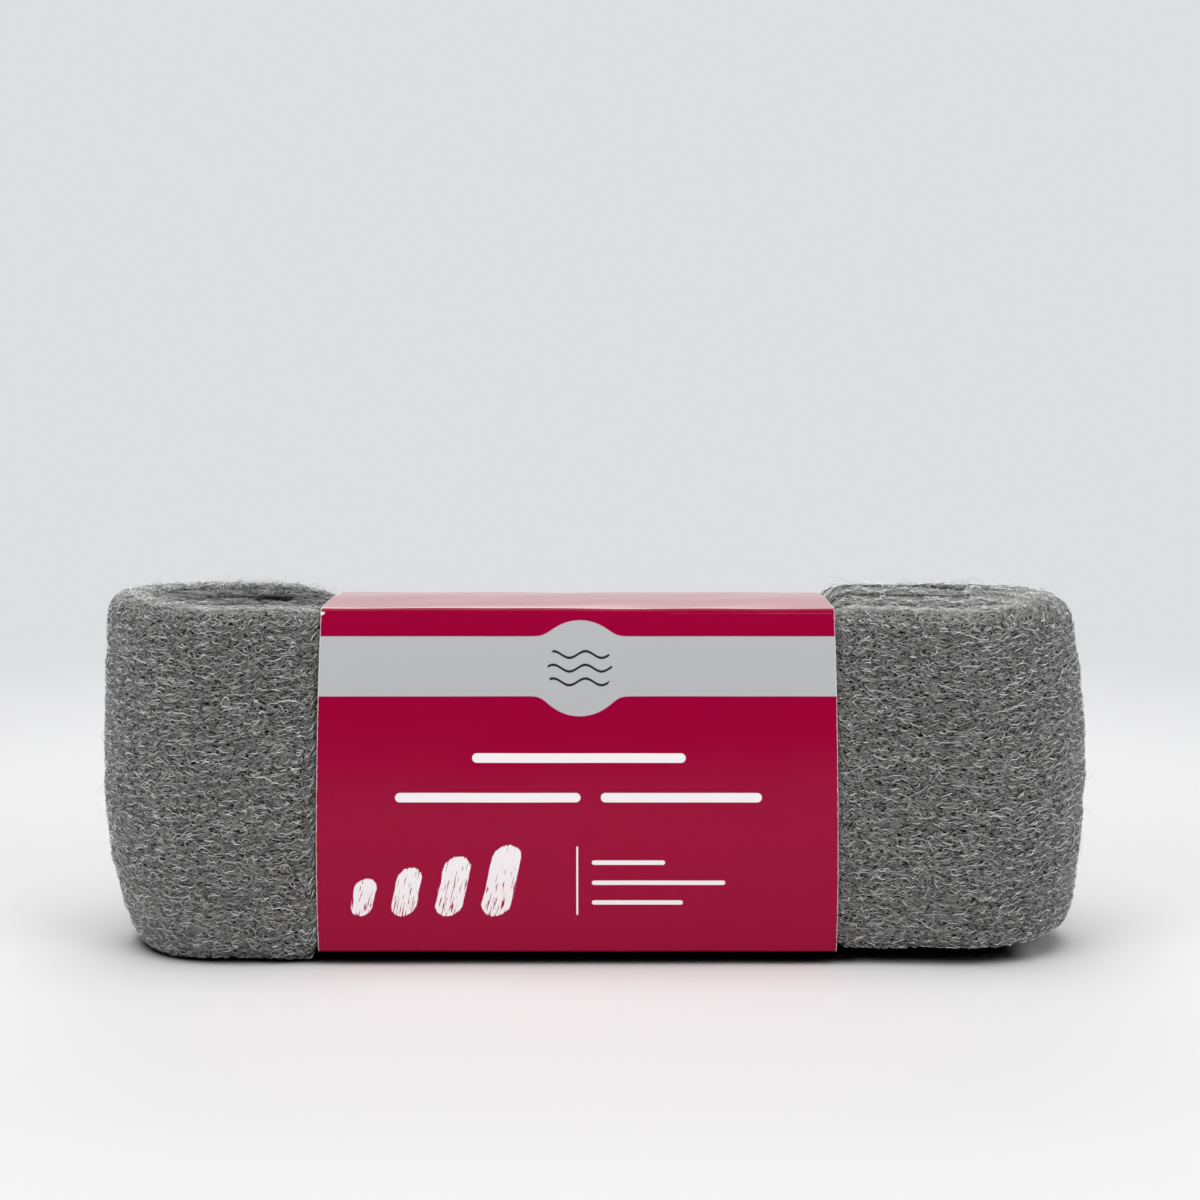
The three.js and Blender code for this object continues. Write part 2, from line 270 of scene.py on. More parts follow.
HALF_LENGTH = round((roll_high[0] - roll_low[0]) / 2, 1)
SLEEVE_MIDDLE = (card_low[0] + card_high[0]) / 2
SLEEVE_WIDTH = card_high[0] - card_low[0]
SLEEVE_CROWN = 1.1
UPPER_FOLD = card_high[2] - SLEEVE_CROWN

TURNS = 3
TURN_GAP = 0.6
SQUEEZED = 9.2
LOOSE = 9.9
FOLD_SWELL = 0.8
COMBED = 2.0
UPPER_EDGE_RADIUS = 4.6
LOWER_EDGE_RADIUS = 2.2
MOST_EDGE_SHARE = 0.45
CLIMB_LENGTH = 44.0
CLIMB_SHIFT = -12.0
EYE_REACH = 11.0

BELLY_HEIGHT = 30.0
SLEEVE_TOP_PULL = 7.6
SLEEVE_FOOT_PULL = 4.4
LOOSE_FOOT_PULL = 7.0
TIP_BELLY_HEIGHT = 42.0
SLEEVE_FOOT = 3.5
SLEEVE_REST = 18.0
CLEARANCE = 0.4
CARD = 0.4

SQUEEZED_PITCH = SQUEEZED + TURN_GAP
LOOSE_PITCH = LOOSE + TURN_GAP
TIP_PITCH = LOOSE + FOLD_SWELL + TURN_GAP
SQUEEZED_HALF_DEPTH = TURNS * SQUEEZED_PITCH - TURN_GAP / 2

# Past the card's edge the foot hangs down again between two places, and the top bulges up: the
# smaller the power, the sooner.
SAG_START = -0.8
SAG_REACH = 3.0
BULGE = 0.45

# Both ends, where side is -1 at the left. The left core has sunk and the right core has risen,
# and the outer turn of the right end has lifted off the table. Loose wool is fluffier than the
# solid: its outer turn hangs a little lower, and its tips reach a little further out.
LEFT = {
    "side": -1, "eye_length": 3.0, "eye_width": 2.0,
    "top_pull": 2.5, "tip_top_pull": 0.8, "tip_foot_pull": 8.7, "spring_reach": 17.0,
    "front_rim": 88.2, "tip_rim": 91.6, "back_rim": 90.9, "core_rise": -2.2,
    "lift": 0.3, "tip_lift": -0.3, "fluff": 0.4,
}
RIGHT = {
    "side": 1, "eye_length": 6.0, "eye_width": 4.4,
    "top_pull": 5.0, "tip_top_pull": 4.0, "tip_foot_pull": 5.0, "spring_reach": 4.5,
    "front_rim": 87.6, "tip_rim": 90.2, "back_rim": 90.2, "core_rise": 2.6,
    "lift": 3.3, "tip_lift": 1.9, "fluff": 1.0,
}
for end in (LEFT, RIGHT):
    tip_reach = end["eye_length"] / 2 + TURNS * TIP_PITCH - TURN_GAP
    end["fold_x"] = end["side"] * (HALF_LENGTH - tip_reach)
    end["sleeve_x"] = SLEEVE_MIDDLE + end["side"] * (SLEEVE_WIDTH / 2 + CLEARANCE)
    end["half_depth"] = end["eye_width"] / 2 + TURNS * LOOSE_PITCH - TURN_GAP
print("half length", HALF_LENGTH, "mm, folds at", LEFT["fold_x"], "and", RIGHT["fold_x"], "mm")


# %% [markdown]
# A wound roll slumps: it is fullest low down, and draws in towards its top and foot. Parabolas do
# for both. `slumped` moves a point of an upright ribbon to where the slumped roll has it, and the
# two functions after it give the heights of the ribbon's edges.

# %% The slump
def mix(a, b, share):
    return a + (b - a) * share


def smooth(share):
    share = np.clip(share, 0, 1)
    return share * share * (3 - 2 * share)


def of_end(x, size):
    """A size of the end that x lies towards."""
    return np.where(x < SLEEVE_MIDDLE, LEFT[size], RIGHT[size])


def past_sleeve(x):
    """How far x is outside the sleeve's cut edge; below zero under the card."""
    return of_end(x, "side") * (x - of_end(x, "sleeve_x"))


def freedom(x):
    """0 under the sleeve, 1 from the fold's centre outwards."""
    return smooth(past_sleeve(x) / np.abs(of_end(x, "fold_x") - of_end(x, "sleeve_x")))


def sprung(x):
    """0 under the sleeve, 1 where the ribbon's edges have sprung back to their own heights."""
    return smooth(past_sleeve(x) / of_end(x, "spring_reach"))


def sagged(x):
    """0 under the sleeve, 1 a few millimetres out, where the lower edge hangs down again."""
    return smooth((past_sleeve(x) - SAG_START) / SAG_REACH)


def tip_share(x):
    """0 at the fold's centre, 1 at the tip of the roll."""
    start = np.abs(of_end(x, "fold_x"))
    return smooth((of_end(x, "side") * x - start) / (HALF_LENGTH - start))


def drawn_in(z, fullest, top_pull, foot_pull):
    above = top_pull * ((z - fullest) / (UPPER_FOLD - fullest)) ** 2
    below = foot_pull * ((fullest - z) / fullest) ** 2
    return np.where(z > fullest, above, below)


def slumped(x, y, z):
    top_pull = mix(SLEEVE_TOP_PULL, of_end(x, "top_pull"), freedom(x))
    foot_pull = mix(SLEEVE_FOOT_PULL, LOOSE_FOOT_PULL, freedom(x))
    side_pull = drawn_in(z, BELLY_HEIGHT, top_pull, foot_pull)
    tip_pull = drawn_in(z, TIP_BELLY_HEIGHT, of_end(x, "tip_top_pull"), of_end(x, "tip_foot_pull"))
    across = 1 - side_pull / SQUEEZED_HALF_DEPTH
    return np.stack([x - of_end(x, "side") * tip_pull * tip_share(x), y * across, z], -1)


# %% The edges of the ribbon and the panels of the sleeve
def sleeve_half_depth(z):
    outside = SQUEEZED_HALF_DEPTH + CLEARANCE + CARD
    return outside - drawn_in(z, BELLY_HEIGHT, SLEEVE_TOP_PULL, SLEEVE_FOOT_PULL)


def lid_height(y):
    """The sleeve's domed top panel."""
    across = np.minimum(1, np.abs(y) / sleeve_half_depth(UPPER_FOLD))
    return UPPER_FOLD + SLEEVE_CROWN * (1 - across**2)


def floor_height(y):
    """The sleeve's bottom panel: flat in the middle, curling up to its folds."""
    flat = SLEEVE_REST / 2
    across = np.maximum(0, np.abs(y) - flat) / (sleeve_half_depth(SLEEVE_FOOT) - flat)
    return SLEEVE_FOOT * across**2


def upper_edge(x, y, turn):
    """Height of the ribbon's upper edge, where its middle passes over (x, y)."""
    across = np.clip((y / of_end(x, "half_depth") + 1) / 2, 0, 1)
    rim = mix(of_end(x, "front_rim"), of_end(x, "back_rim"), across)
    rim = mix(rim, of_end(x, "tip_rim"), tip_share(x) / 2)
    core = of_end(x, "core_rise") * (1 - turn / (TURNS - 1))
    outer_face = (np.abs(y) + SQUEEZED / 2) / SQUEEZED_HALF_DEPTH
    held = lid_height(outer_face * sleeve_half_depth(UPPER_FOLD)) - CLEARANCE - CARD
    return mix(held, rim + core, sprung(x) ** BULGE)


def lower_edge(x, y, turn):
    """Height of its lower edge. The outer turn may stand off the table at the front."""
    held = floor_height(np.abs(y) + SQUEEZED / 2) + CLEARANCE + CARD
    facing = 1 - smooth(y / of_end(x, "half_depth"))
    lifted = np.maximum(0, of_end(x, "lift") * facing + of_end(x, "tip_lift") * tip_share(x))
    return mix(held, np.where(turn > TURNS - 1.5, lifted, 0), sagged(x))


# %% [markdown]
# The ribbon's route in plan goes round both ends three times and climbs onto itself behind the
# sleeve, out of sight. It is drawn as a chain of stretches, each finely sampled: straight runs,
# eased shifts where the wool springs open or closes, and half ellipses round the ends.

# %% The ribbon's route
FINE = 0.25


def eased(start, stop):
    """From start to stop, setting off and arriving along the roll."""
    t = np.linspace(0, 1, max(2, int(abs(stop[0] - start[0]) / FINE)))
    bow = 1.5 * t * (1 - t)
    x = start[0] * ((1 - t) ** 3 + bow) + stop[0] * (t**3 + bow)
    return t, x, mix(start[1], stop[1], smooth(t))


def around_fold(end, radius_x, radius_y, face):
    """Half an ellipse round the end of the roll, from one face to the other."""
    t = np.linspace(0, 1, int(math.pi * radius_x / FINE))
    angle = math.pi * t
    x = end["fold_x"] + end["side"] * radius_x * np.sin(angle)
    return t, x, face * radius_y * np.cos(angle)


def squeezed_y(turn):
    return TURN_GAP / 2 + SQUEEZED / 2 + turn * SQUEEZED_PITCH


def round_end(go, end, turn, face):
    """From the sleeve on one face, round the end of the roll, to the sleeve on the other."""
    side = end["side"]
    parted_y = end["eye_width"] / 2 + LOOSE / 2 + turn * LOOSE_PITCH
    held = (end["sleeve_x"], squeezed_y(turn))
    loose = (end["fold_x"] - side * EYE_REACH, TURN_GAP / 2 + LOOSE / 2 + turn * LOOSE_PITCH)
    parted = (end["fold_x"], parted_y)
    radius_x = end["eye_length"] / 2 + (LOOSE + FOLD_SWELL) / 2 + turn * TIP_PITCH
    out = [(x, face * y) for x, y in (held, loose, parted)]
    back = [(x, -face * y) for x, y in (parted, loose, held)]
    go(eased(out[0], out[1]), turn, lambda t: mix(SQUEEZED, LOOSE, t))
    go(eased(out[1], out[2]), turn, lambda t: LOOSE + 0 * t)
    fold = around_fold(end, radius_x, parted_y, face)
    go(fold, turn, lambda t: LOOSE + FOLD_SWELL * np.sin(math.pi * t))
    go(eased(back[0], back[1]), turn, lambda t: LOOSE + 0 * t)
    go(eased(back[1], back[2]), turn, lambda t: mix(LOOSE, SQUEEZED, t))


def ribbon_route():
    """x, y, thickness and turn of the ribbon's middle at each of many steps along it."""
    steps = []

    def go(curve, turn, thickness_at):
        t, x, y = curve
        steps.append(np.stack([x, y, thickness_at(t), np.full(len(t), turn)], 1)[:-1])

    climb_from = CLIMB_SHIFT - CLIMB_LENGTH / 2
    climb_to = CLIMB_SHIFT + CLIMB_LENGTH / 2
    combed = (SQUEEZED - COMBED) / 2
    start = (CLIMB_SHIFT, squeezed_y(0) - combed)
    go(eased(start, (climb_to, squeezed_y(0))), 0, lambda t: mix(COMBED, SQUEEZED, t))
    for turn in range(TURNS):
        y = squeezed_y(turn)
        go(eased((climb_to, y), (RIGHT["sleeve_x"], y)), turn, lambda t: SQUEEZED + 0 * t)
        round_end(go, RIGHT, turn, 1)
        front = eased((RIGHT["sleeve_x"], -y), (LEFT["sleeve_x"], -y))
        go(front, turn, lambda t: SQUEEZED + 0 * t)
        round_end(go, LEFT, turn, -1)
        go(eased((LEFT["sleeve_x"], y), (climb_from, y)), turn, lambda t: SQUEEZED + 0 * t)
        if turn < TURNS - 1:
            over = (climb_to, squeezed_y(turn + 1))
            go(eased((climb_from, y), over), turn, lambda t: SQUEEZED + 0 * t)
    stop = (CLIMB_SHIFT, squeezed_y(TURNS - 1) + combed)
    go(eased((climb_from, squeezed_y(TURNS - 1)), stop), TURNS - 1,
       lambda t: mix(SQUEEZED, COMBED, t))
    return np.concatenate(steps)


# %% Measure along the route
steps = ribbon_route()
hops = np.hypot(*np.diff(steps[:, :2], axis=0).T)
route = {
    "along": np.concatenate([[0], np.cumsum(hops)]),
    "x": steps[:, 0],
    "y": steps[:, 1],
    "thickness": steps[:, 2],
    "turn": steps[:, 3],
}
heading = np.gradient(steps[:, :2], route["along"], axis=0)
heading /= np.linalg.norm(heading, axis=1, keepdims=True)
route["heading_x"], route["heading_y"] = heading.T
route["head"] = upper_edge(route["x"], route["y"], route["turn"])
route["foot"] = lower_edge(route["x"], route["y"], route["turn"])
print("ribbon", round(route["along"][-1]), "mm long")


# %% [markdown]
# Any point of the wool's surface has two coordinates: how far along the ribbon it is, and how far
# round the ribbon's section, counted in millimetres up its outer face from the middle, over the
# soft upper edge and down the inner face. Downwards counts as negative. `on_wool` turns the two,
# with a height off the surface, into a place in space. Both the mat and its fibres use it, so they
# follow each other exactly. On the outside the mat lies a little below the solid's surface, which
# the fibres then fill up to. Between turns it fills the gap, with only a small groove on top, and
# the edge tilts towards the core, because the turns' tops have felted together into one surface.

# %% The wool's surface
UNDER_FIBRES = 0.55
FELTED_RADIUS = 0.8
TOP_ONLY = 6


def at(along, size):
    return np.interp(along, route["along"], route[size])


def measured(along, upper):
    """From the ribbon's middle to the mat's outer, inner and upper faces, and its two radii."""
    half = at(along, "thickness") / 2
    inner_turn = at(along, "turn") < TURNS - 1.5
    outside = half + np.where(inner_turn, TURN_GAP / 2, -UNDER_FIBRES)
    inside = half + TURN_GAP / 2
    half_height = (at(along, "head") - at(along, "foot")) / 2 - UNDER_FIBRES
    wanted = np.where(upper, UPPER_EDGE_RADIUS, LOWER_EDGE_RADIUS)
    outer = np.minimum(wanted, (half - UNDER_FIBRES) * 2 * MOST_EDGE_SHARE)
    inner = np.where(upper, np.minimum(FELTED_RADIUS, outer), outer)
    return outside, inside, half_height, np.where(inner_turn, inner, outer), inner


def on_wool(along, round_section, off):
    """The place, in millimetres, that lies off the ribbon's surface by so much."""
    outside, inside, half_height, outer, inner = measured(along, round_section >= 0)
    middle = (at(along, "head") + at(along, "foot")) / 2
    top = outside + inside - outer - inner
    upward = np.where(round_section < 0, -1, 1)
    far = np.abs(round_section)
    past_face = far - (half_height - outer)
    past_corner = past_face - outer * math.pi / 2
    past_top = past_corner - top
    angle = (np.clip(past_face / outer, 0, math.pi / 2)
             + np.clip(past_top / inner, 0, math.pi / 2))
    down_inside = np.maximum(0, past_top - inner * math.pi / 2)
    over = past_corner > top / 2
    radius = np.where(over, inner, outer)
    outwards = outside - outer - np.clip(past_corner, 0, top)
    outwards = outwards + (radius + off) * np.cos(angle)
    rise = np.where(over, half_height - inner - down_inside, np.minimum(far, half_height - outer))
    rise = rise + (radius + off) * np.sin(angle)
    x = at(along, "x") - outwards * at(along, "heading_y")
    y = at(along, "y") + outwards * at(along, "heading_x")
    near_top = np.clip(upward * rise / half_height, 0, 1) ** TOP_ONLY
    tilt = -of_end(x, "core_rise") / (TURNS - 1) / LOOSE_PITCH * sprung(x) ** BULGE
    settled = tilt * outwards - PIT_DEPTH * in_a_pit(x, y)
    return slumped(x, y, middle + upward * rise + near_top * settled)


# %% [markdown]
# Felted layers give the surface a slight relief: a heap of small ripples, longer along the ribbon
# than across it, that dies away under the card. The right end also has one shallow horizontal
# crease across its face, where the ribbon was once folded.

# %% The wool's relief, in millimetres
RIPPLES = 60
RIPPLE_SHARE = 0.006
MOST_RELIEF = 0.3
CREASE_HEIGHT = 59.0
CREASE_DEPTH = 0.35
CREASE_WIDTH = 1.1
CREASE_SWAYS = ((0.6, 0.09), (0.35, 0.23))
EDGE_FROM, EDGE_OVER, EDGE_CALM = 38, 5, 0.7
FLUFF_FROM, FLUFF_OVER = -20, 30

ripple_along = 2 * math.pi / rng.uniform(9, 60, RIPPLES) * rng.choice([-1, 1], RIPPLES)
ripple_round = 2 * math.pi / rng.uniform(4, 16, RIPPLES)
ripple_phase = rng.uniform(0, 2 * math.pi, RIPPLES)
ripple_height = RIPPLE_SHARE * np.sqrt(2 * math.pi / ripple_round)


def relief(along, round_section):
    """Height of the felted layers over the smooth surface."""
    heap = np.zeros(np.broadcast(along, round_section).shape)
    for a, b, phase, height in zip(ripple_along, ripple_round, ripple_phase, ripple_height):
        heap += height * np.sin(a * along + b * round_section + phase)
    x, y = at(along, "x"), at(along, "y")
    height = (at(along, "head") + at(along, "foot")) / 2 + round_section
    sway = sum(swing * np.sin(rate * x) for swing, rate in CREASE_SWAYS)
    near = np.exp(-(((height - CREASE_HEIGHT - sway) / CREASE_WIDTH) ** 2))
    creased = near * smooth((x - RIGHT["sleeve_x"] - 6) / 8) * smooth(-y / 12) * CREASE_DEPTH
    over_edge = smooth((round_section - EDGE_FROM) / EDGE_OVER)
    felted = np.clip(heap, -MOST_RELIEF, MOST_RELIEF) * (1 - EDGE_CALM * over_edge)
    outwards = smooth((round_section - FLUFF_FROM) / FLUFF_OVER)
    fluff = of_end(x, "fluff") * tip_share(x) * outwards
    return fluff + (felted - creased) * smooth(past_sleeve(x) / 4)


# %% [markdown]
# The middle of each end has a pit: a dark eye at the right, where the innermost turn folds, and
# two short creases at the left. They are too narrow for the light to reach into, so the steel in
# them is painted darker: painted shade.

# %% Pits between the turns: place, half length and half width in plan
PITS = [(93.8, -0.5, 4.0, 4.2), (-86.0, 9.0, 5.0, 2.0), (-85.5, -7.0, 3.2, 1.8)]
PIT_DEPTH = 3.0
PIT_SHADE = 0.95


def in_a_pit(x, y):
    deepest = np.zeros(np.broadcast(x, y).shape)
    for pit_x, pit_y, half_length, half_width in PITS:
        far = ((x - pit_x) / half_length) ** 2 + ((y - pit_y) / half_width) ** 2
        deepest = np.maximum(deepest, np.exp(-far * far))
    return deepest


# %% [markdown]
# The mat itself is one long closed loft: rings of points across the ribbon, closely set where it
# shows and far apart under the sleeve. Most of each ring's points go to the outer face and the two
# edges, because the inner face is hardly ever seen.

# %% The ribbon as one mesh: millimetres from ring to ring, and points on each stretch of a ring
SHOWN_STEP = 1.7
HIDDEN_STEP = 8.0
SHOWN_FROM = -3
FACE_POINTS = 21
EDGE_POINTS = 6
TOP_POINTS = 4
INNER_POINTS = 2

shown = past_sleeve(route["x"]) > SHOWN_FROM
rings_due = np.cumsum(np.gradient(route["along"]) / np.where(shown, SHOWN_STEP, HIDDEN_STEP))
ring_count = int(rings_due[-1])
ring_along = np.interp(np.linspace(0, rings_due[-1], ring_count), rings_due, route["along"])


def half_ring(upper):
    """How far round the section each point lies, from the outer face to the inner one."""
    outside, inside, half_height, outer, inner = measured(ring_along, upper)
    lengths = [
        half_height - outer, outer * math.pi / 2, outside + inside - outer - inner,
        inner * math.pi / 2, half_height - inner,
    ]
    counts = [FACE_POINTS, EDGE_POINTS, TOP_POINTS, EDGE_POINTS, INNER_POINTS]
    levels = [np.zeros(ring_count)]
    for length, count in zip(lengths, counts):
        start = levels[-1]
        levels += [start + length * i / count for i in range(1, count + 1)]
    return np.stack(levels, 1)


ring_round = np.concatenate([half_ring(True)[:, :-1], -half_ring(False)[:, :0:-1]], 1)
along_grid = np.broadcast_to(ring_along[:, None], ring_round.shape)
mat_relief = relief(along_grid, ring_round)
mat_points = on_wool(along_grid, ring_round, mat_relief)
ring_size = ring_round.shape[1]


def grid_faces(rows, columns):
    """Four-cornered faces over a grid of points whose rows close on themselves."""
    row, column = np.mgrid[0 : rows - 1, 0:columns]
    after = (column + 1) % columns
    here, there = row * columns, (row + 1) * columns
    return np.stack([here + column, here + after, there + after, there + column], -1).reshape(-1, 4)


mat_faces = grid_faces(ring_count, ring_size).tolist()
mat_faces += [list(range(ring_size))[::-1]]
mat_faces += [list(range((ring_count - 1) * ring_size, ring_count * ring_size))]
print("mat:", ring_count, "rings of", ring_size, "points")

# %% [markdown]
# **Steel wool, seen close.** Low-carbon steel, shaved, so its base colour is that of bare steel and
# it is fully metallic. The mat below the loose fibres is drawn as more fibres: three sheets of
# stretched noise, of which only the thin line where the noise crosses its middle value is kept.
# Each line is about 0.2 mm wide, ten times a real fibre, because finer ones would melt into an even
# grey. Between the lines the mat is painted nearly black, a painted shade for deep wool that no
# light reaches. It gets more painted shade in hollows, in the pits, and on the inner turns, which
# stand in the shade of the outer one.

# %% Steel for the mat
# The gap colour is painted shade: the near black of deep, unlit wool between the mat's lines.
STEEL_GAP_SHADE = "#141414"
STEEL_LINE = "#a8a8a6"
LINE_STRETCH = (0.5, 1.3, 1)
LINE_NOISE = {"Scale": 0.9, "Detail": 2.5, "Roughness": 0.6, "Distortion": 0.35}
LINE_REACH = 0.05
SHEETS = ((0.05, 0), (-0.35, 31), (0.4, 57))
TURN_APART = 40
LEVEL_SHADE, LEAST_SHADE = 0.9, 0.4
RELIEF_PER_SHADE = 1.5
UNDER_SHADE = 0.15
LEFT_CORE_SHADE, RIGHT_CORE_SHADE = 0.45, 0.7


def fibre_sheet(tree, lie, lean, shift):
    """Thin crinkled lines along the ribbon, turned a little by lean: 1 on a line, 0 off it."""
    turned = add(tree, "Mapping", {}, {
        "Vector": lie, "Rotation": (0, 0, lean), "Location": (shift, shift * 1.7, 0),
    })
    stretched = add(tree, "VectorMath", "MULTIPLY", [turned, LINE_STRETCH])
    noise = add(tree, "TexNoise", {}, {"Vector": stretched, **LINE_NOISE})
    middle = add(tree, "Math", "SUBTRACT", [noise, 0.5])
    far = add(tree, "Math", "ABSOLUTE", [middle])
    return add(tree, "MapRange", {"interpolation_type": "SMOOTHSTEP"}, {
        "Value": far, "From Min": 0.0, "From Max": LINE_REACH, "To Min": 1.0, "To Max": 0.0,
    })


steel_mat, tree = new_material("shaved_steel_mat")
lie = add(tree, "Attribute", {"attribute_name": "lie"})
lines = None
for lean, shift in SHEETS:
    sheet = fibre_sheet(tree, lie.outputs["Vector"], lean, shift)
    lines = sheet if lines is None else add(tree, "Math", "MAXIMUM", [lines, sheet])
# The depth attribute carries painted shade, set where the mat is placed.
depth = add(tree, "Attribute", {"attribute_name": "depth"})
shade = add(tree, "Math", "MULTIPLY", [lines, depth.outputs["Fac"]])
steel = add(tree, "Mix", {"data_type": "RGBA"}, {
    "Factor": shade, 6: linear(STEEL_GAP_SHADE), 7: linear(STEEL_LINE),
})
bump = add(tree, "Bump", {}, {"Height": lines, "Strength": 0.6, "Distance": 0.0003})
surface = add(tree, "BsdfPrincipled", {}, {
    "Base Color": steel.outputs[2], "Metallic": 1.0, "Roughness": 0.5, "Normal": bump,
})
add(tree, "OutputMaterial", {}, {"Surface": surface})

# %% Place the mat
wool_mat = make_piece("wool_ribbon", mat_points.reshape(-1, 3), mat_faces, [steel_mat])
store(wool_mat, "lie", "FLOAT_VECTOR",
      np.stack([along_grid, ring_round, at(along_grid, "turn") * TURN_APART], -1))
# Painted shade, kept in the depth attribute: the mat is darkened in its hollows, in the pits, and
# on the inner turns, most on their lower sides.
pit = in_a_pit(mat_points[..., 0], mat_points[..., 1])
depth = np.clip(mat_relief / RELIEF_PER_SHADE + LEVEL_SHADE, LEAST_SHADE, 1)
depth *= 1 - PIT_SHADE * pit
inner_shade = np.where(mat_points[..., 0] < SLEEVE_MIDDLE, LEFT_CORE_SHADE, RIGHT_CORE_SHADE)
inner_shade = np.where(ring_round < 0, UNDER_SHADE, inner_shade)
depth *= np.where(at(along_grid, "turn") < TURNS - 1.5, inner_shade, 1)
store(wool_mat, "depth", "FLOAT", depth)
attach(wool_mat, "root")
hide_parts("steel_wool_roll")
print("mat", 2 * ring_count * ring_size, "triangles")

# %% [markdown]
# ** Steel for the fibres.** The same bare steel as the mat, fully metallic. Each fibre's base colour
# is read from its tone, and the tone paints light and shade: brighter or darker at random, because
# each fibre is turned its own way to the light, darker the deeper it lies, and nearly white for a
# few painted glints. Shaving leaves fine drag lines along a fibre, so it is only half smooth.

# %% Steel for the fibres
steel_fibre, tree = new_material("shaved_steel_fibre")
tone = add(tree, "Attribute", {"attribute_name": "tone"})
ramp = add(tree, "ValToRGB", {}, {"Fac": tone.outputs["Fac"]})
# The dark end of the ramp is the painted shade of deep fibres, the white end the painted glints.
stops = ramp.color_ramp.elements
stops[0].color = linear("#1e1e1e")
stops[1].color = linear("#ffffff")
stops.new(0.5).color = linear("#dadad9")
surface = add(tree, "BsdfPrincipled", {}, {
    "Base Color": ramp, "Metallic": 1.0, "Roughness": 0.34,
})
add(tree, "OutputMaterial", {}, {"Surface": surface})


# %% [markdown]
# **Laying fibres.** Blender's hair would follow a surface well, but it isn't a mesh, so each fibre
# here is one. It starts as a short walk on the wool's surface: a start, a lean against the ribbon's
# direction, a gentle bend, and the crimp of shaved steel, which turns it one way and the other at
# every step.

# %% A walk on the wool
KINK_LEAST, KINK_MOST = 0.3, 1.2
KINK_STRAY = 0.6


def walk(along, round_section, points, length, lean, bend, crimp):
    """The surface coordinates of crimped fibres, one row each, centred on where they start."""
    count = len(along)
    step = (length / (points - 1))[:, None]
    t = np.linspace(-0.5, 0.5, points - 1)
    zigzag = np.where(np.arange(points - 1) % 2, 1, -1) * rng.choice([-1, 1], (count, 1))
    kinks = crimp * (zigzag * rng.uniform(KINK_LEAST, KINK_MOST, (count, points - 1))
                     + KINK_STRAY * rng.standard_normal((count, points - 1)))
    angle = lean[:, None] + bend[:, None] * t + kinks
    reverse = rng.choice([-1, 1], (count, 1))
    zero = np.zeros((count, 1))
    hop_along = np.concatenate([zero, np.cumsum(step * np.cos(angle) * reverse, 1)], 1)
    hop_round = np.concatenate([zero, np.cumsum(step * np.sin(angle), 1)], 1)
    hop_along -= hop_along.mean(1, keepdims=True)
    hop_round -= hop_round.mean(1, keepdims=True)
    return along[:, None] + hop_along, round_section[:, None] + hop_round


# %% [markdown]
# Then three-sided rings are set round the walk's points and closed with a point at each end, so
# that every fibre is a closed body with the three corners that a shaved fibre has.

# %% The body of a fibre
SIDE = np.arange(3)
AFTER = (SIDE + 1) % 3
TAPER_START = 0.25
TAPER_POWER = 0.4


def spindle_points(centres, thickness):
    """An end point, three points round each inner centre, and an end point, for every fibre."""
    count, points, _ = centres.shape
    heading = np.gradient(centres, axis=1)
    heading /= np.linalg.norm(heading, axis=2, keepdims=True)
    sideways = np.cross(heading, rng.standard_normal((count, 1, 3)))
    sideways /= np.linalg.norm(sideways, axis=2, keepdims=True)
    upwards = np.cross(heading, sideways)
    angle = SIDE * (2 * math.pi / 3)
    waist = np.sin(np.linspace(TAPER_START, math.pi - TAPER_START, points)) ** TAPER_POWER
    radius = (thickness[:, None] / 2 * waist)[:, 1:-1, None, None]
    around = (sideways[:, 1:-1, None] * np.cos(angle)[:, None]
              + upwards[:, 1:-1, None] * np.sin(angle)[:, None])
    skin = centres[:, 1:-1, None] + around * radius
    return np.concatenate([centres[:, :1], skin.reshape(count, -1, 3), centres[:, -1:]], 1)


def spindle_faces(rings):
    """The three-cornered and the four-cornered faces of one fibre."""
    last_ring = 1 + (rings - 1) * 3
    first = np.stack([np.zeros(3, int), 1 + AFTER, 1 + SIDE], 1)
    last = np.stack([np.full(3, last_ring + 3), last_ring + SIDE, last_ring + AFTER], 1)
    ring = 1 + 3 * np.arange(rings - 1)[:, None]
    fours = np.stack([ring + SIDE, ring + AFTER, ring + 3 + AFTER, ring + 3 + SIDE], -1)
    return np.concatenate([first, last]), fours.reshape(-1, 4)


# %% [markdown]
# For a bake of the materials into pictures, each fibre needs a patch of the picture for itself, or
# it would take its neighbour's brightness. So the UV map is a board of cells, one for each fibre,
# with its length across the cell and its three sides up it.

# %% A cell for every fibre
CELL_EDGE = 0.12


def give_cells(piece, count, rings, threes, fours):
    across = math.ceil(math.sqrt(count))
    cell = np.stack([np.arange(count) % across, np.arange(count) // across], 1) / across
    reach = np.concatenate([[0], np.repeat(np.arange(1, rings + 1), 3), [rings + 1]]) / (rings + 1)
    low, high = SIDE / 3, (SIDE + 1) / 3
    three_v = np.concatenate([
        np.stack([(low + high) / 2, high, low], 1),
        np.stack([(low + high) / 2, low, high], 1),
    ])
    four_v = np.tile(np.stack([low, high, high, low], 1), (rings - 1, 1))
    room = 1 - 2 * CELL_EDGE
    board = [
        (np.stack([reach[faces], v], -1) * room + CELL_EDGE) / across + cell[:, None, None]
        for faces, v in ((threes, three_v), (fours, four_v))
    ]
    layer = piece.data.uv_layers.new(name="OFBake")
    layer.uv.foreach_set("vector", np.concatenate([b.ravel() for b in board]).astype(np.float32))


# %% One mesh of many fibres, each with painted shade where its ends dive into the wool
END_TONE = 0.6


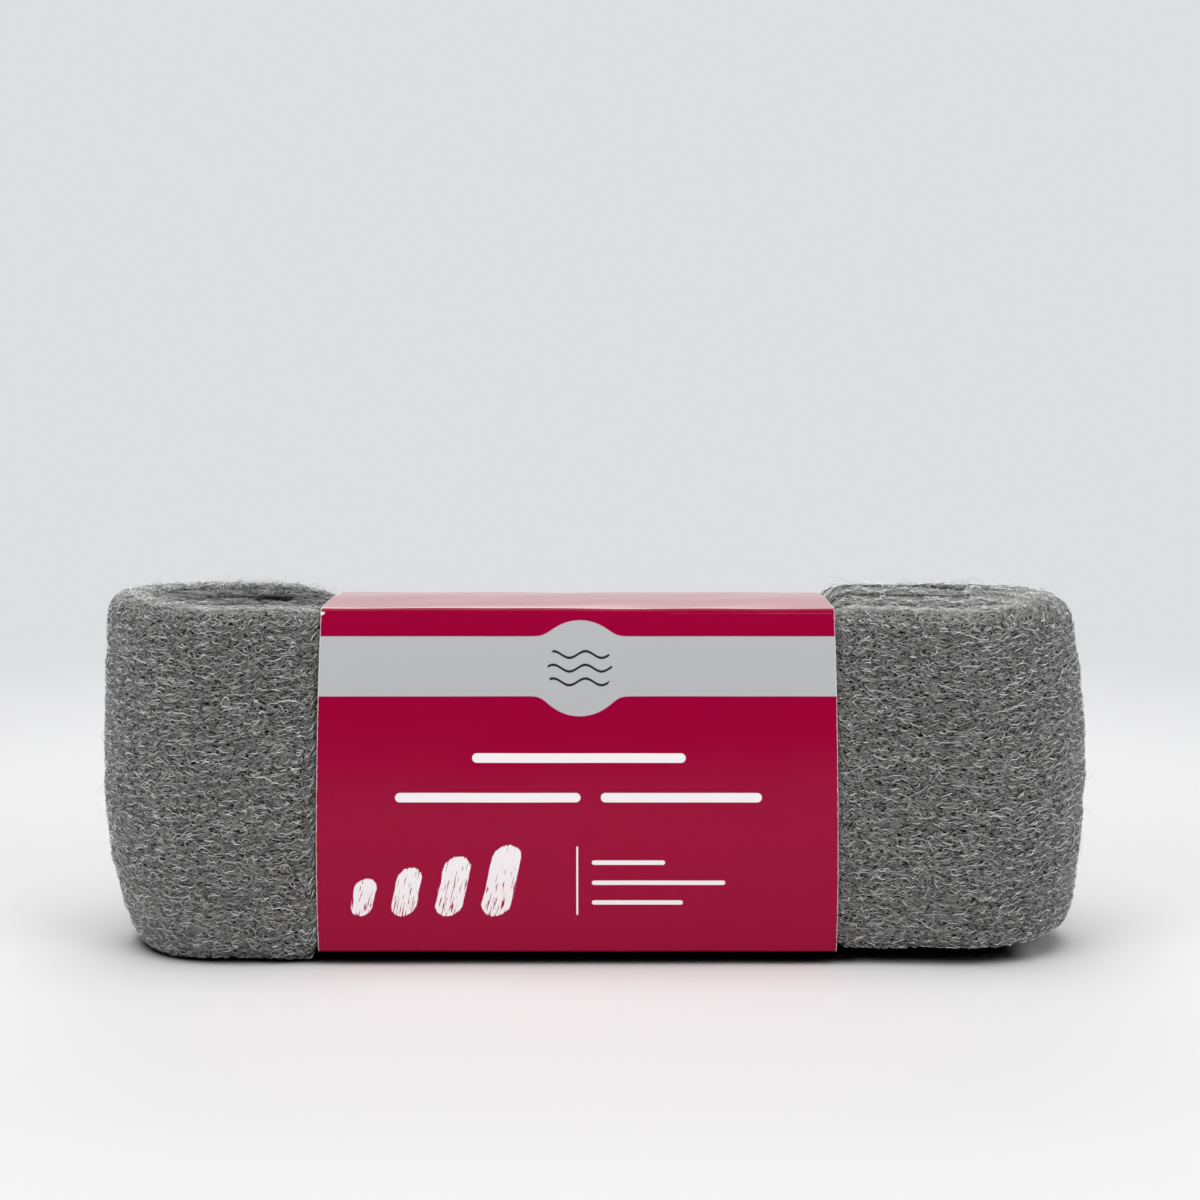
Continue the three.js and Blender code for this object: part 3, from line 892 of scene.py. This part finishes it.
def fibre_piece(name, centres, thickness, tone):
    count, points, _ = centres.shape
    rings = points - 2
    places = spindle_points(centres, thickness)
    threes, fours = spindle_faces(rings)
    offsets = np.arange(count)[:, None, None] * places.shape[1]
    faces = (threes + offsets).reshape(-1, 3).tolist() + (fours + offsets).reshape(-1, 4).tolist()
    piece = make_piece(name, places.reshape(-1, 3), faces, [steel_fibre])
    give_cells(piece, count, rings, threes, fours)
    # Painted shade: each fibre's tone is darker towards its ends, which dive into the wool.
    dusk = mix(END_TONE, 1, np.sin(np.linspace(0, math.pi, points)))
    along_fibre = tone[:, None] * dusk
    store(piece, "tone", "FLOAT", np.concatenate([
        along_fibre[:, :1], np.repeat(along_fibre[:, 1:-1], 3, axis=1), along_fibre[:, -1:],
    ], 1))
    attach(piece, "root")
    print(name, count, "fibres,", count * 6 * rings, "triangles")


# %% [markdown]
# Fibres are scattered evenly over what shows: the outer face of the last turn round both ends, the
# soft upper edges of all turns, and, more thinly, the lower edges. Their ends dive into the mat and
# their middles rise. Places drawn at random would leave bare spots and clumps. So each fibre's
# place comes from a sequence that fills a box evenly: steps of the powers of one over a ratio that
# solves x to the fourth = x + 1. Under the card no fibre may stand proud, and none may reach below
# the table, so both are held back point by point.

# %% Scatter the fibres, in millimetres
TABLE_CLEARANCE = 0.2
CARD_EDGE = -0.1
HELD_BACK = -0.6
JITTER = 1.0
UP_JITTER = 0.006
EVEN_RATIO = 1.2207440846
EVEN_STEPS = EVEN_RATIO ** -np.arange(1.0, 4.0)
FIBRES_FROM = -1.5
SINK_MOST, SINK_LEAST = -0.45, -0.2
ARCH_POWER = 0.5
UNEVEN = 0.05

outer_turn = route["turn"] > TURNS - 1.5
in_the_open = past_sleeve(route["x"]) > FIBRES_FROM


def spread(count, where):
    """Evenly spread places: along the route where it may be, and two more shares from 0 to 1."""
    shares = (rng.random(3) + np.arange(count)[:, None] * EVEN_STEPS) % 1
    allowed = route["along"][where]
    along = allowed[(shares[:, 0] * len(allowed)).astype(int)]
    up = shares[:, 1] + UP_JITTER * rng.standard_normal(count)
    return along + JITTER * rng.standard_normal(count), np.clip(up, 0, 1), shares[:, 2]


def half_section(along, upper=True):
    """From the middle of the outer face to the middle of an edge, in millimetres."""
    outside, _, half_height, outer, _ = measured(along, upper)
    return half_height + outer * (math.pi / 2 - 2) + outside


def place_fibres(along, round_section, off):
    """Places in space, tucked under the card near it and kept above the table."""
    under_card = past_sleeve(at(along, "x")) < CARD_EDGE
    off = np.where(under_card, np.minimum(off, HELD_BACK), off)
    centres = on_wool(along, round_section, off)
    centres[..., 2] = np.maximum(centres[..., 2], TABLE_CLEARANCE)
    return centres


def arched(along, round_section, top, points, length, lean, bend, crimp):
    """Centres of fibres whose ends dive into the mat and whose middles rise to top."""
    count = len(along)
    along, round_section = walk(
        along, round_section, points, rng.uniform(*length, count),
        lean * rng.standard_normal(count), bend * rng.standard_normal(count), crimp,
    )
    arch = np.sin(np.linspace(0, math.pi, points)) ** ARCH_POWER
    sunk = rng.uniform(SINK_MOST, SINK_LEAST, (count, 1))
    off = sunk + (top[:, None] - sunk) * arch + UNEVEN * rng.standard_normal(along.shape)
    return place_fibres(along, round_section, off + relief(along, round_section))


# %% [markdown]
# Light fades as it goes deeper into a heap of fibres, and here that is painted shade: a fibre that
# lies high gets a bright tone, one that lies deep a dark one, and the eye picks out single crinkled
# strokes on a dark ground. The sunken core of the left end, the lower sides of the inner turns and
# the pits get more painted shade still, and a few fibres get painted glints. The upper edges take
# their tone from their end: lower at the left end's sunken top than at the right end's dome, which
# is painted shade as well.

# %% Short fibres on the faces and the edges
DEEP_TONE = 0.03
FACE_TONE = 1.0
# The upper edges' tone per end is painted shade: lower on the left's sunken top than the right's
# dome.
RIM_TONE = {"left": 0.64, "right": 0.84}
TONE_LEAST, TONE_MOST = 0.55, 1.45
# A share of fibres made brighter: painted glints.
GLINTS = 0.08
GLINT_TONE = 0.35
SUNKEN_SHADE = 0.34
# A large fall leaves only the highest fibres bright. The lean is across the ribbon, in radians.
FACE_LEAN, FACE_FALL = 0.28, 2.5
RIM_LEAN, RIM_FALL = 0.9, 1.2

FACE_FIBRES = 8400
RIM_FIBRES = 2900
SHORT_LENGTH = (2.2, 4.0)
RIM_REACH = 6.5
FOOT_SHARE = 0.12
FOOT_MARGIN = 1.5


def brightness(along, places, proud, most, fall, upper=True):
    """Tones with painted shade and glints: fibres lying deep at proud 0, high at proud 1."""
    tone = mix(DEEP_TONE, most, proud**fall)
    tone *= rng.uniform(TONE_LEAST, TONE_MOST, len(along))
    tone += GLINT_TONE * (rng.random(len(along)) < GLINTS)
    x, y, inner = places[:, 0], places[:, 1], at(along, "turn") < TURNS - 1.5
    tone *= np.where(inner & (x < SLEEVE_MIDDLE), SUNKEN_SHADE, 1)
    tone *= np.where(inner & ~upper, UNDER_SHADE, 1)
    return np.clip(tone * (1 - PIT_SHADE * in_a_pit(x, y)), 0, 1)


def lay(name, along, round_section, proud, lean, most, fall):
    """Lays short crimped fibres, proud from 0 to 1, and makes one piece of them."""
    top = mix(-0.2, 0.4, proud)
    centres = arched(
        along, round_section, top, points=5, length=SHORT_LENGTH, lean=lean, bend=0.6, crimp=0.55,
    )
    thickness = mix(0.12, 0.23, proud) * rng.uniform(0.85, 1.15, len(along))
    tone = brightness(along, centres[:, 2], proud, most, fall, round_section > 0)
    fibre_piece(name, centres, thickness, tone)


for name, end in (("left", LEFT), ("right", RIGHT)):
    at_end = in_the_open & (route["x"] * end["side"] > 0)
    for half in "ab":
        along, up, proud = spread(FACE_FIBRES, at_end & outer_turn)
        top_reach = half_section(along) - at(along, "thickness") / 2
        foot_reach = half_section(along, False) - FOOT_MARGIN
        round_section = mix(-foot_reach, top_reach, up)
        lay(f"wool_{name}_{half}", along, round_section, proud, FACE_LEAN, FACE_TONE, FACE_FALL)
    along, up, proud = spread(RIM_FIBRES, at_end)
    upper = up > FOOT_SHARE
    upper_up = (up - FOOT_SHARE) / (1 - FOOT_SHARE)
    from_edge = mix(-RIM_REACH, RIM_REACH, np.where(upper, upper_up, up / FOOT_SHARE))
    round_section = half_section(along, upper) + from_edge
    round_section = np.where(upper, round_section, -round_section)
    tone = RIM_TONE[name]
    lay(f"wool_{name}_rims", along, round_section, proud, RIM_LEAN, tone, RIM_FALL)

# %% [markdown]
# On top of the roll the turns have felted together, so that only a few creases still part them.
# More short fibres lie there in every direction, level with the ribbon's upper edge, and bridge
# the grooves between the turns.

# %% Felt over the turns
FELT_FIBRES = 2300
FELT_POINTS = 5
FELT_FROM = 2
FELT_SINK = 1.3
FELT_UNEVEN = 0.12
FELT_UNDER = 0.3

for name, end in (("left", LEFT), ("right", RIGHT)):
    at_end = (past_sleeve(route["x"]) > FELT_FROM) & (route["x"] * end["side"] > 0)
    along, across, proud = spread(FELT_FIBRES, at_end)
    inner = at(along, "turn") < TURNS - 1.5
    side_step = (mix(-0.5, np.where(inner, 0.5, -0.1), across) * (LOOSE + TURN_GAP))[:, None]
    x = at(along, "x")[:, None] - side_step * at(along, "heading_y")[:, None]
    y = at(along, "y")[:, None] + side_step * at(along, "heading_x")[:, None]
    hop_x, hop_y = walk(
        np.zeros(FELT_FIBRES), np.zeros(FELT_FIBRES), FELT_POINTS,
        length=rng.uniform(2.0, 3.6, FELT_FIBRES), lean=rng.uniform(-1.3, 1.3, FELT_FIBRES),
        bend=0.8 * rng.standard_normal(FELT_FIBRES), crimp=0.6,
    )
    x, y = x + hop_x, y + hop_y
    turn = at(along, "turn")[:, None]
    z = upper_edge(x, y, turn) - FELT_SINK * (1 - proud[:, None]) ** 2
    z -= PIT_DEPTH * in_a_pit(x, y)
    centres = slumped(x, y, z + FELT_UNEVEN * rng.standard_normal(x.shape) - FELT_UNDER)
    fibre_piece(
        f"wool_{name}_felt", centres, rng.uniform(0.12, 0.21, FELT_FIBRES),
        brightness(along, centres[:, 2], proud, RIM_TONE[name], RIM_FALL),
    )

# %% [markdown]
# A few long fibres lie on top of all the others, nearly along the ribbon. They catch the light from
# end to end, and show how the wool was drawn.

# %% Long fibres
LONG_FIBRES = 260
LONG_POINTS = 13

along, up, proud = spread(LONG_FIBRES, in_the_open & outer_turn)
round_section = mix(-1, 1, up) * (half_section(along) - at(along, "thickness") / 2)
top = mix(0.3, 0.6, proud)
centres = arched(
    along, round_section, top, LONG_POINTS, length=(5, 11), lean=0.22, bend=0.9, crimp=0.4,
)
fibre_piece(
    "wool_long_fibres", centres,
    thickness=rng.uniform(0.15, 0.24, LONG_FIBRES), tone=rng.uniform(0.55, 1.0, LONG_FIBRES),
)

# %% [markdown]
# Low on the left end the wool was rubbed, and some fibres there have curled up into loops.

# %% Loops
LOOPS = 170
LOOP_POINTS = 11

along, up, proud = spread(LOOPS, in_the_open & outer_turn & (route["x"] < 0))
round_section = mix(-1, -0.2, up) * (half_section(along, False) - FOOT_MARGIN - 2)
along, round_section = walk(
    along, round_section, LOOP_POINTS,
    length=rng.uniform(5, 9, LOOPS), lean=rng.uniform(-0.5, 0.5, LOOPS),
    bend=rng.choice([-1, 1], LOOPS) * rng.uniform(2, 5.5, LOOPS), crimp=0.25,
)
off = mix(0.25, 0.5, proud)[:, None] + relief(along, round_section)
fibre_piece(
    "wool_loops", place_fibres(along, round_section, off),
    thickness=rng.uniform(0.13, 0.19, LOOPS), tone=rng.uniform(0.4, 0.85, LOOPS),
)

# %% [markdown]
# More than a thousand fibres have worked loose. They are as thin as a hair, leave the surface in
# arcs and curls, and only show as a faint halo where the pale backdrop is behind them.

# %% Stray fibres
STRAYS = 1400
STRAY_POINTS = 8
ON_THE_RIM = 0.55
ONE_END_FREE = 0.4

along, up, _ = spread(STRAYS, in_the_open & outer_turn)
reach = half_section(along)
on_rim = rng.random(STRAYS) < ON_THE_RIM
round_section = np.where(on_rim, reach, mix(-0.8, 1, up) * reach)
along, round_section = walk(
    along, round_section, STRAY_POINTS, length=rng.uniform(5, 13, STRAYS),
    lean=rng.normal(0, 0.6, STRAYS), bend=rng.normal(0, 1.6, STRAYS), crimp=0.12,
)
rise = rng.gamma(2.0, 0.5, (STRAYS, 1)).clip(0.3, 3.5)
free = rng.random((STRAYS, 1)) < ONE_END_FREE
t = np.linspace(0, 1, STRAY_POINTS)
off = np.where(free, rise * t**1.4, rise * np.sin(math.pi * t)) - 0.2
fibre_piece(
    "stray_fibres", place_fibres(along, round_section, off),
    thickness=rng.uniform(0.06, 0.11, STRAYS), tone=rng.uniform(0.5, 1.0, STRAYS),
)

# %% [markdown]
# **The sleeve.** A blank of thin white card, printed, varnished, cut, creased and glued into a
# tube. Seen from the end of the roll it is a closed outline: bowed front and back, a slightly domed
# lid, and a floor that lies flat in the middle. The outline is drawn once for the card's inner
# face. Each point then gets the card's thickness outwards, doubled at the glued lap low on the
# back. Swept along the roll, with a very slight waviness, it gives a shell with real cut edges.

# %% The sleeve's outline
CREASE_RADIUS = 0.9
LAP_FOOT = 10.0
LAP_WIDTH = 14.0
FACE_STEPS = 44
LID_STEPS = 32
CREASE_STEPS = 5

# Numbers of the four panels. The creases between them lie half way.
BACK, LID, FRONT, FLOOR = 0, 1, 2, 3


def crease(start, corner, stop):
    """A rounded fold: a quadratic curve from start to stop."""
    t = np.linspace(0, 1, CREASE_STEPS + 1)[1:-1, None]
    start, corner, stop = (np.array(p) for p in (start, corner, stop))
    return start * (1 - t) ** 2 + corner * 2 * t * (1 - t) + stop * t**2


def sleeve_outline():
    """Depth and height of the outer face, from the foot of the back, and each point's panel."""
    high, low, r = UPPER_FOLD, SLEEVE_FOOT, CREASE_RADIUS
    rising = np.linspace(low + r, high - r, FACE_STEPS)
    lap = (rising > LAP_FOOT) & (rising < LAP_FOOT + LAP_WIDTH)
    back = np.stack([sleeve_half_depth(rising) + CARD * lap, rising], 1)
    front = np.stack([-sleeve_half_depth(rising[::-1]), rising[::-1]], 1)
    top = np.linspace(1, -1, LID_STEPS) * (sleeve_half_depth(high) - r)
    lid = np.stack([top, lid_height(top)], 1)
    under = np.linspace(-1, 1, LID_STEPS) * (sleeve_half_depth(low) - r)
    floor = np.stack([under, floor_height(under)], 1)
    corner = sleeve_half_depth(np.array([low, high]))
    parts = [
        (BACK, back), (BACK + 0.5, crease(back[-1], (corner[1], high), lid[0])),
        (LID, lid), (LID + 0.5, crease(lid[-1], (-corner[1], high), front[0])),
        (FRONT, front), (FRONT + 0.5, crease(front[-1], (-corner[0], low), floor[0])),
        (FLOOR, floor), (FLOOR + 0.5, crease(floor[-1], (corner[0], low), back[0])),
    ]
    panels = [np.full(len(points), number) for number, points in parts]
    return np.concatenate([points for _, points in parts]), np.concatenate(panels)


outline, panel = sleeve_outline()
tangent = np.roll(outline, -1, axis=0) - np.roll(outline, 1, axis=0)
tangent /= np.linalg.norm(tangent, axis=1, keepdims=True)
outward = np.stack([tangent[:, 1], -tangent[:, 0]], 1)
print("sleeve outline", len(outline), "points")

# %% [markdown]
# **Printed card.** White cartonboard, 0.4 mm thick, printed crimson with one silver grey band, and
# varnished. The print is plain shapes, placed in millimetres from the middle of the sleeve and from
# the table: a band with a round field that holds three waves for the crimp of the wool, three long
# round-ended bars, four brushed strokes, a thin rule and three short bars. Each shape is the
# distance to its outline, below zero inside it, and `ink` prints it.

# %% Print on the front: bars, strokes and a band
CRIMSON = "#9c0036"
SILVER = "#b7b8bb"
WHITE_INK = "#f4eef0"
DARK_INK = "#2c2b2f"
INK_EDGE = 0.12

# Bars: middle across, middle up, half width, half height.
BARS = [
    (0.4, 51.7, 26.3, 1.15),
    (-22.0, 42.1, 22.8, 1.15), (25.6, 42.1, 19.8, 1.15),
    (0.0, 21.6, 0.22, 8.6),
    (12.6, 26.2, 9.0, 0.55), (20.0, 21.2, 16.4, 0.55), (14.8, 16.2, 11.2, 0.55),
]
# Strokes, before they lean: middle across, middle up, half width, half height.
STROKES = [(-52.6, 17.4, 2.6, 4.6), (-42.0, 18.8, 2.9, 6.0), (-30.6, 20.2, 3.2, 7.4),
           (-18.6, 21.6, 3.5, 8.8)]
LEAN = 0.22
WAVES = (70.1, 73.4, 76.7)
BAND_MIDDLE, BAND_HALF = 73.85, 7.25
FIELD = (0.6, 73.4, 11.6, 11.6)
FIELD_FILLET = 3.0
FIELD_MARGIN = 3.6

printed_card, tree = new_material("varnished_cartonboard")
spot = add(tree, "Attribute", {"attribute_name": "print"})
axes = add(tree, "SeparateXYZ", {}, {0: spot.outputs["Vector"]})
across, up, panel_number = axes.outputs[0], axes.outputs[1], axes.outputs[2]
upright = add(tree, "CombineXYZ", {}, {0: across, 1: up})
shear = add(tree, "Math", "MULTIPLY", [up, LEAN])
leant = add(tree, "Math", "SUBTRACT", [across, shear])
leaning = add(tree, "CombineXYZ", {}, {0: leant, 1: up})
on_front = add(tree, "Math", "COMPARE", [panel_number, FRONT, 0.3])


def bar(place, x, z, half_width, half_height):
    """Distance to a round-ended bar. A dot is a bar as wide as it is high."""
    radius = min(half_width, half_height)
    offset = add(tree, "VectorMath", "SUBTRACT", [place, (x, z, 0)])
    far = add(tree, "VectorMath", "ABSOLUTE", [offset])
    beyond = add(tree, "VectorMath", "SUBTRACT", [
        far, (half_width - radius, half_height - radius, 0),
    ])
    outside = add(tree, "VectorMath", "MAXIMUM", [beyond, (0, 0, 0)])
    length = add(tree, "VectorMath", "LENGTH", [outside])
    return add(tree, "Math", "SUBTRACT", [length.outputs["Value"], radius])


def nearest(shapes):
    """The distance to the nearest of several shapes."""
    found = shapes[0]
    for shape in shapes[1:]:
        found = add(tree, "Math", "MINIMUM", [found, shape])
    return found


def inside(distance):
    """1 inside a shape and 0 outside it, with a soft edge of ink."""
    return add(tree, "MapRange", {}, {
        "Value": distance, "From Min": INK_EDGE / 2, "From Max": -INK_EDGE / 2,
    })


def ink(distance):
    """The same, on the front panel only."""
    return add(tree, "Math", "MULTIPLY", [inside(distance), on_front])


bars = ink(nearest([bar(upright, *sizes) for sizes in BARS]))
height = add(tree, "Math", "SUBTRACT", [up, BAND_MIDDLE])
from_middle = add(tree, "Math", "ABSOLUTE", [height])
band = add(tree, "Math", "SUBTRACT", [from_middle, BAND_HALF])
label = add(tree, "Math", "SMOOTH_MIN", [band, bar(upright, *FIELD), FIELD_FILLET])
silver = ink(label)
print(len(tree.nodes), "nodes draw the bars and the band")

# %% [markdown]
# A loaded brush prints solid where it lands and breaks into streaks as it runs dry. Streaks are
# noise that is long along the stroke and fine across it, and they eat into the stroke towards its
# foot. The three waves are one sine curve, drawn at three heights.

# %% Print on the front: streaks and waves
BRISTLES_PER_MM = (2.6, 0.22, 1)
LOADED, DRY = 31.0, 10.0
WAVE_LENGTH, WAVE_SWING, WAVE_LINE = 8.0, 0.8, 0.32

bristles = add(tree, "VectorMath", "MULTIPLY", [leaning, BRISTLES_PER_MM])
streaks = add(tree, "TexNoise", {}, {"Vector": bristles, "Scale": 1.0, "Detail": 2.0})
dry = add(tree, "MapRange", {}, {
    "Value": up, "From Min": LOADED, "From Max": DRY, "To Min": 0.28, "To Max": 0.47,
})
covered = add(tree, "Math", "SUBTRACT", [streaks, dry])
solid = add(tree, "MapRange", {}, {"Value": covered, "From Min": -0.01, "From Max": 0.02})
ragged = add(tree, "Math", "MULTIPLY_ADD", [streaks, -1.2, 0.5])
# A leaning stroke keeps its height, and its middle is moved back by what the lean adds.
strokes = nearest([bar(leaning, x - LEAN * z, z, *half) for x, z, *half in STROKES])
rough = add(tree, "Math", "ADD", [strokes, ragged])
brushed = add(tree, "Math", "MULTIPLY", [ink(rough), solid])
white_ink = add(tree, "Math", "MAXIMUM", [bars, brushed])

swing = add(tree, "Math", "MULTIPLY", [across, 2 * math.pi / WAVE_LENGTH])
crimp = add(tree, "Math", "SINE", [swing])
wave = add(tree, "Math", "MULTIPLY_ADD", [crimp, -WAVE_SWING, up])
lines = []
for wave_height in WAVES:
    above = add(tree, "Math", "SUBTRACT", [wave, wave_height])
    far = add(tree, "Math", "ABSOLUTE", [above])
    lines.append(add(tree, "Math", "SUBTRACT", [far, WAVE_LINE]))
sides = add(tree, "Math", "ADD", [bar(upright, *FIELD), FIELD_MARGIN])
dark_ink = ink(add(tree, "Math", "MAXIMUM", [nearest(lines), sides]))
print(len(tree.nodes), "nodes draw the whole print")

# %% [markdown]
# Card is never quite even: ink sinks between its fibres, and the varnish lies a little unevenly.
# Blender counts noise per metre here, so a scale of 900 gives a grain of about 1 mm, coarser than
# paper's own so that it shows. The cut edges have rubbed to bare card here and there, more at the
# upper left corner of the front. A faint crease runs just below the upper fold, over its right
# half,
# drawn only as a paler wavering line: a painted highlight where the crease catches the light.

# %% Wear on the print
# The paler colour of the crease's painted highlight.
CREASE_HIGHLIGHT_PAINT = "#e8c8d0"
BARE_CARD = "#e9e6e1"
PAPER_NOISE = {"Scale": 900.0, "Detail": 4.0, "Roughness": 0.6}
CLOUD_NOISE = {"Scale": 28.0, "Detail": 3.0, "Roughness": 0.5}
EDGE_RUB = 0.55
CREASE_SHOWS = 0.06

place = add(tree, "TexCoord")
paper = add(tree, "TexNoise", {}, {"Vector": place.outputs["Object"], **PAPER_NOISE})
cloud = add(tree, "TexNoise", {}, {"Vector": place.outputs["Object"], **CLOUD_NOISE})
edge = add(tree, "Math", "ABSOLUTE", [across])
from_edge = add(tree, "Math", "SUBTRACT", [SLEEVE_WIDTH / 2 + 0.06, edge])
rub = add(tree, "Math", "MULTIPLY_ADD", [paper, -0.45, from_edge])
edge_wear = add(tree, "Math", "MULTIPLY", [inside(rub), EDGE_RUB])
nick = bar(upright, -SLEEVE_WIDTH / 2 + 0.1, UPPER_FOLD - 0.5, 0.75, 1.0)
torn = add(tree, "Math", "MULTIPLY_ADD", [paper, 1.2, nick])
corner_wear = ink(add(tree, "Math", "SUBTRACT", [torn, 0.6]))
wear = add(tree, "Math", "MAXIMUM", [edge_wear, corner_wear])
# Painted highlight: a paler line along the crease, where it would catch the light.
scored = bar(upright, 44.0, UPPER_FOLD - 1.1, 21.0, 0.2)
wavering = add(tree, "Math", "MULTIPLY_ADD", [cloud, 0.6, scored])
fine_line = ink(add(tree, "Math", "SUBTRACT", [wavering, 0.18]))
crease_line = add(tree, "Math", "MULTIPLY", [fine_line, CREASE_SHOWS])

# %% [markdown]
# **Varnish.** A thin clear coat about as glossy as a magazine cover, with the index of a resin. It
# gives the eye a deep colour head-on and a nearly white lid at a grazing angle. The lid has the
# usual specular level of a half. The front's sheen was matched to the photograph, so it has less.

# %% Varnished card
crimson = add(tree, "Mix", {"data_type": "RGBA", "blend_type": "MULTIPLY"}, {
    "Factor": 0.10, 6: linear(CRIMSON), 7: paper.outputs["Color"],
})
colour = crimson
for mask, paint in (
    (silver, SILVER), (dark_ink, DARK_INK), (white_ink, WHITE_INK), (crease_line, CREASE_HIGHLIGHT_PAINT),
    (wear, BARE_CARD),
):
    colour = add(tree, "Mix", {"data_type": "RGBA"}, {
        "Factor": mask, 6: colour.outputs[2], 7: linear(paint),
    })
uneven = add(tree, "Bump", {}, {"Height": cloud, "Strength": 0.06, "Distance": 0.0004})
grain = add(tree, "Bump", {}, {
    "Height": paper, "Strength": 0.04, "Distance": 0.00005, "Normal": uneven,
})
on_lid = add(tree, "Math", "COMPARE", [panel_number, LID, 0.45])
sheen = add(tree, "MapRange", {}, {"Value": on_lid, "To Min": 0.14, "To Max": 0.5})
surface = add(tree, "BsdfPrincipled", {}, {
    "Base Color": colour.outputs[2], "Roughness": 0.2, "IOR": 1.5, "Specular IOR Level": sheen,
    "Normal": grain,
})
add(tree, "OutputMaterial", {}, {"Surface": surface})

# %% [markdown]
# **Bare card.** The inside and the cut edges are uncoated white pulp: soft, rough and slightly
# warm. Its mottling is drawn 1.4 mm wide, coarser than the pulp's own, so that it shows.

# %% Bare card
DARK_PULP = "#c9c5bd"

raw_card, tree = new_material("uncoated_cartonboard")
place = add(tree, "TexCoord")
pulp = add(tree, "TexNoise", {}, {
    "Vector": place.outputs["Object"], "Scale": 700.0, "Detail": 5.0, "Roughness": 0.65,
})
shade = add(tree, "Mix", {"data_type": "RGBA"}, {
    "Factor": pulp, 6: linear(DARK_PULP), 7: linear(BARE_CARD),
})
bump = add(tree, "Bump", {}, {"Height": pulp, "Strength": 0.3, "Distance": 0.0001})
surface = add(tree, "BsdfPrincipled", {}, {
    "Base Color": shade.outputs[2], "Roughness": 0.8, "Normal": bump,
})
add(tree, "OutputMaterial", {}, {"Surface": surface})

# %% [markdown]
# The shell is two skins of the same grid, one on each face of the card, joined at the two cut
# edges. The outer skin carries the print, and the inner skin and the cut edges are bare card. The
# waviness is a tenth of a millimetre, just enough to break up the sheen.

# %% The sleeve's mesh. Each swell: cycles along, cycles round, and phase.
COLUMNS = 34
WAVINESS = 0.10
SWELLS = ((1.1, 3, 0.4), (2.3, 5, 1.9), (3.7, 8, 4.0), (0.7, 11, 2.6))
FLAT_BELOW, WAVY_OVER = 1.0, 4.0

columns = np.linspace(-SLEEVE_WIDTH / 2, SLEEVE_WIDTH / 2, COLUMNS)
around = np.arange(len(outline)) / len(outline) * 2 * math.pi
wavy = np.zeros((COLUMNS, len(outline)))
for cycles, turns_round, phase in SWELLS:
    swing = cycles * columns[:, None] / SLEEVE_WIDTH * 2 * math.pi
    wavy += WAVINESS / 2 * np.sin(swing + turns_round * around[None] + phase)
wavy *= np.clip((outline[:, 1] - FLAT_BELOW) / WAVY_OVER, 0, 1)


def skin(off):
    """One skin of the card: a grid of points, off the outline by so much."""
    depth_height = outline[None] + outward[None] * (wavy + off)[..., None]
    x = np.broadcast_to((SLEEVE_MIDDLE + columns)[:, None], wavy.shape)
    return np.concatenate([x[..., None], depth_height], -1)


outer_skin = skin(0.0)
inner_skin = skin(-CARD)
half = COLUMNS * len(outline)
outer_faces = grid_faces(COLUMNS, len(outline))[:, ::-1]
inner_faces = grid_faces(COLUMNS, len(outline)) + half
ring = np.arange(len(outline))
after = np.roll(ring, -1)
left_edge = np.stack([ring, after, after + half, ring + half], 1)[:, ::-1]
right_edge = left_edge[:, ::-1] + half - len(outline)
faces = np.concatenate([outer_faces, inner_faces, left_edge, right_edge])
print("sleeve", 2 * len(faces), "triangles")

# %% Place the sleeve
sleeve_points = np.concatenate([outer_skin.reshape(-1, 3), inner_skin.reshape(-1, 3)])
sleeve = make_piece("printed_sleeve", sleeve_points, faces.tolist(), [printed_card, raw_card])
slots = np.ones(len(faces), int)
slots[: len(outer_faces)] = 0
sleeve.data.polygons.foreach_set("material_index", slots)
flat_print = np.stack([
    np.broadcast_to(columns[:, None], wavy.shape), outer_skin[..., 2],
    np.broadcast_to(panel, wavy.shape),
], -1).reshape(-1, 3)
store(sleeve, "print", "FLOAT_VECTOR", np.concatenate([flat_print, flat_print]))
sleeve.data.set_sharp_from_angle(angle=math.radians(50))
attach(sleeve, "root")
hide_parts("card_sleeve")
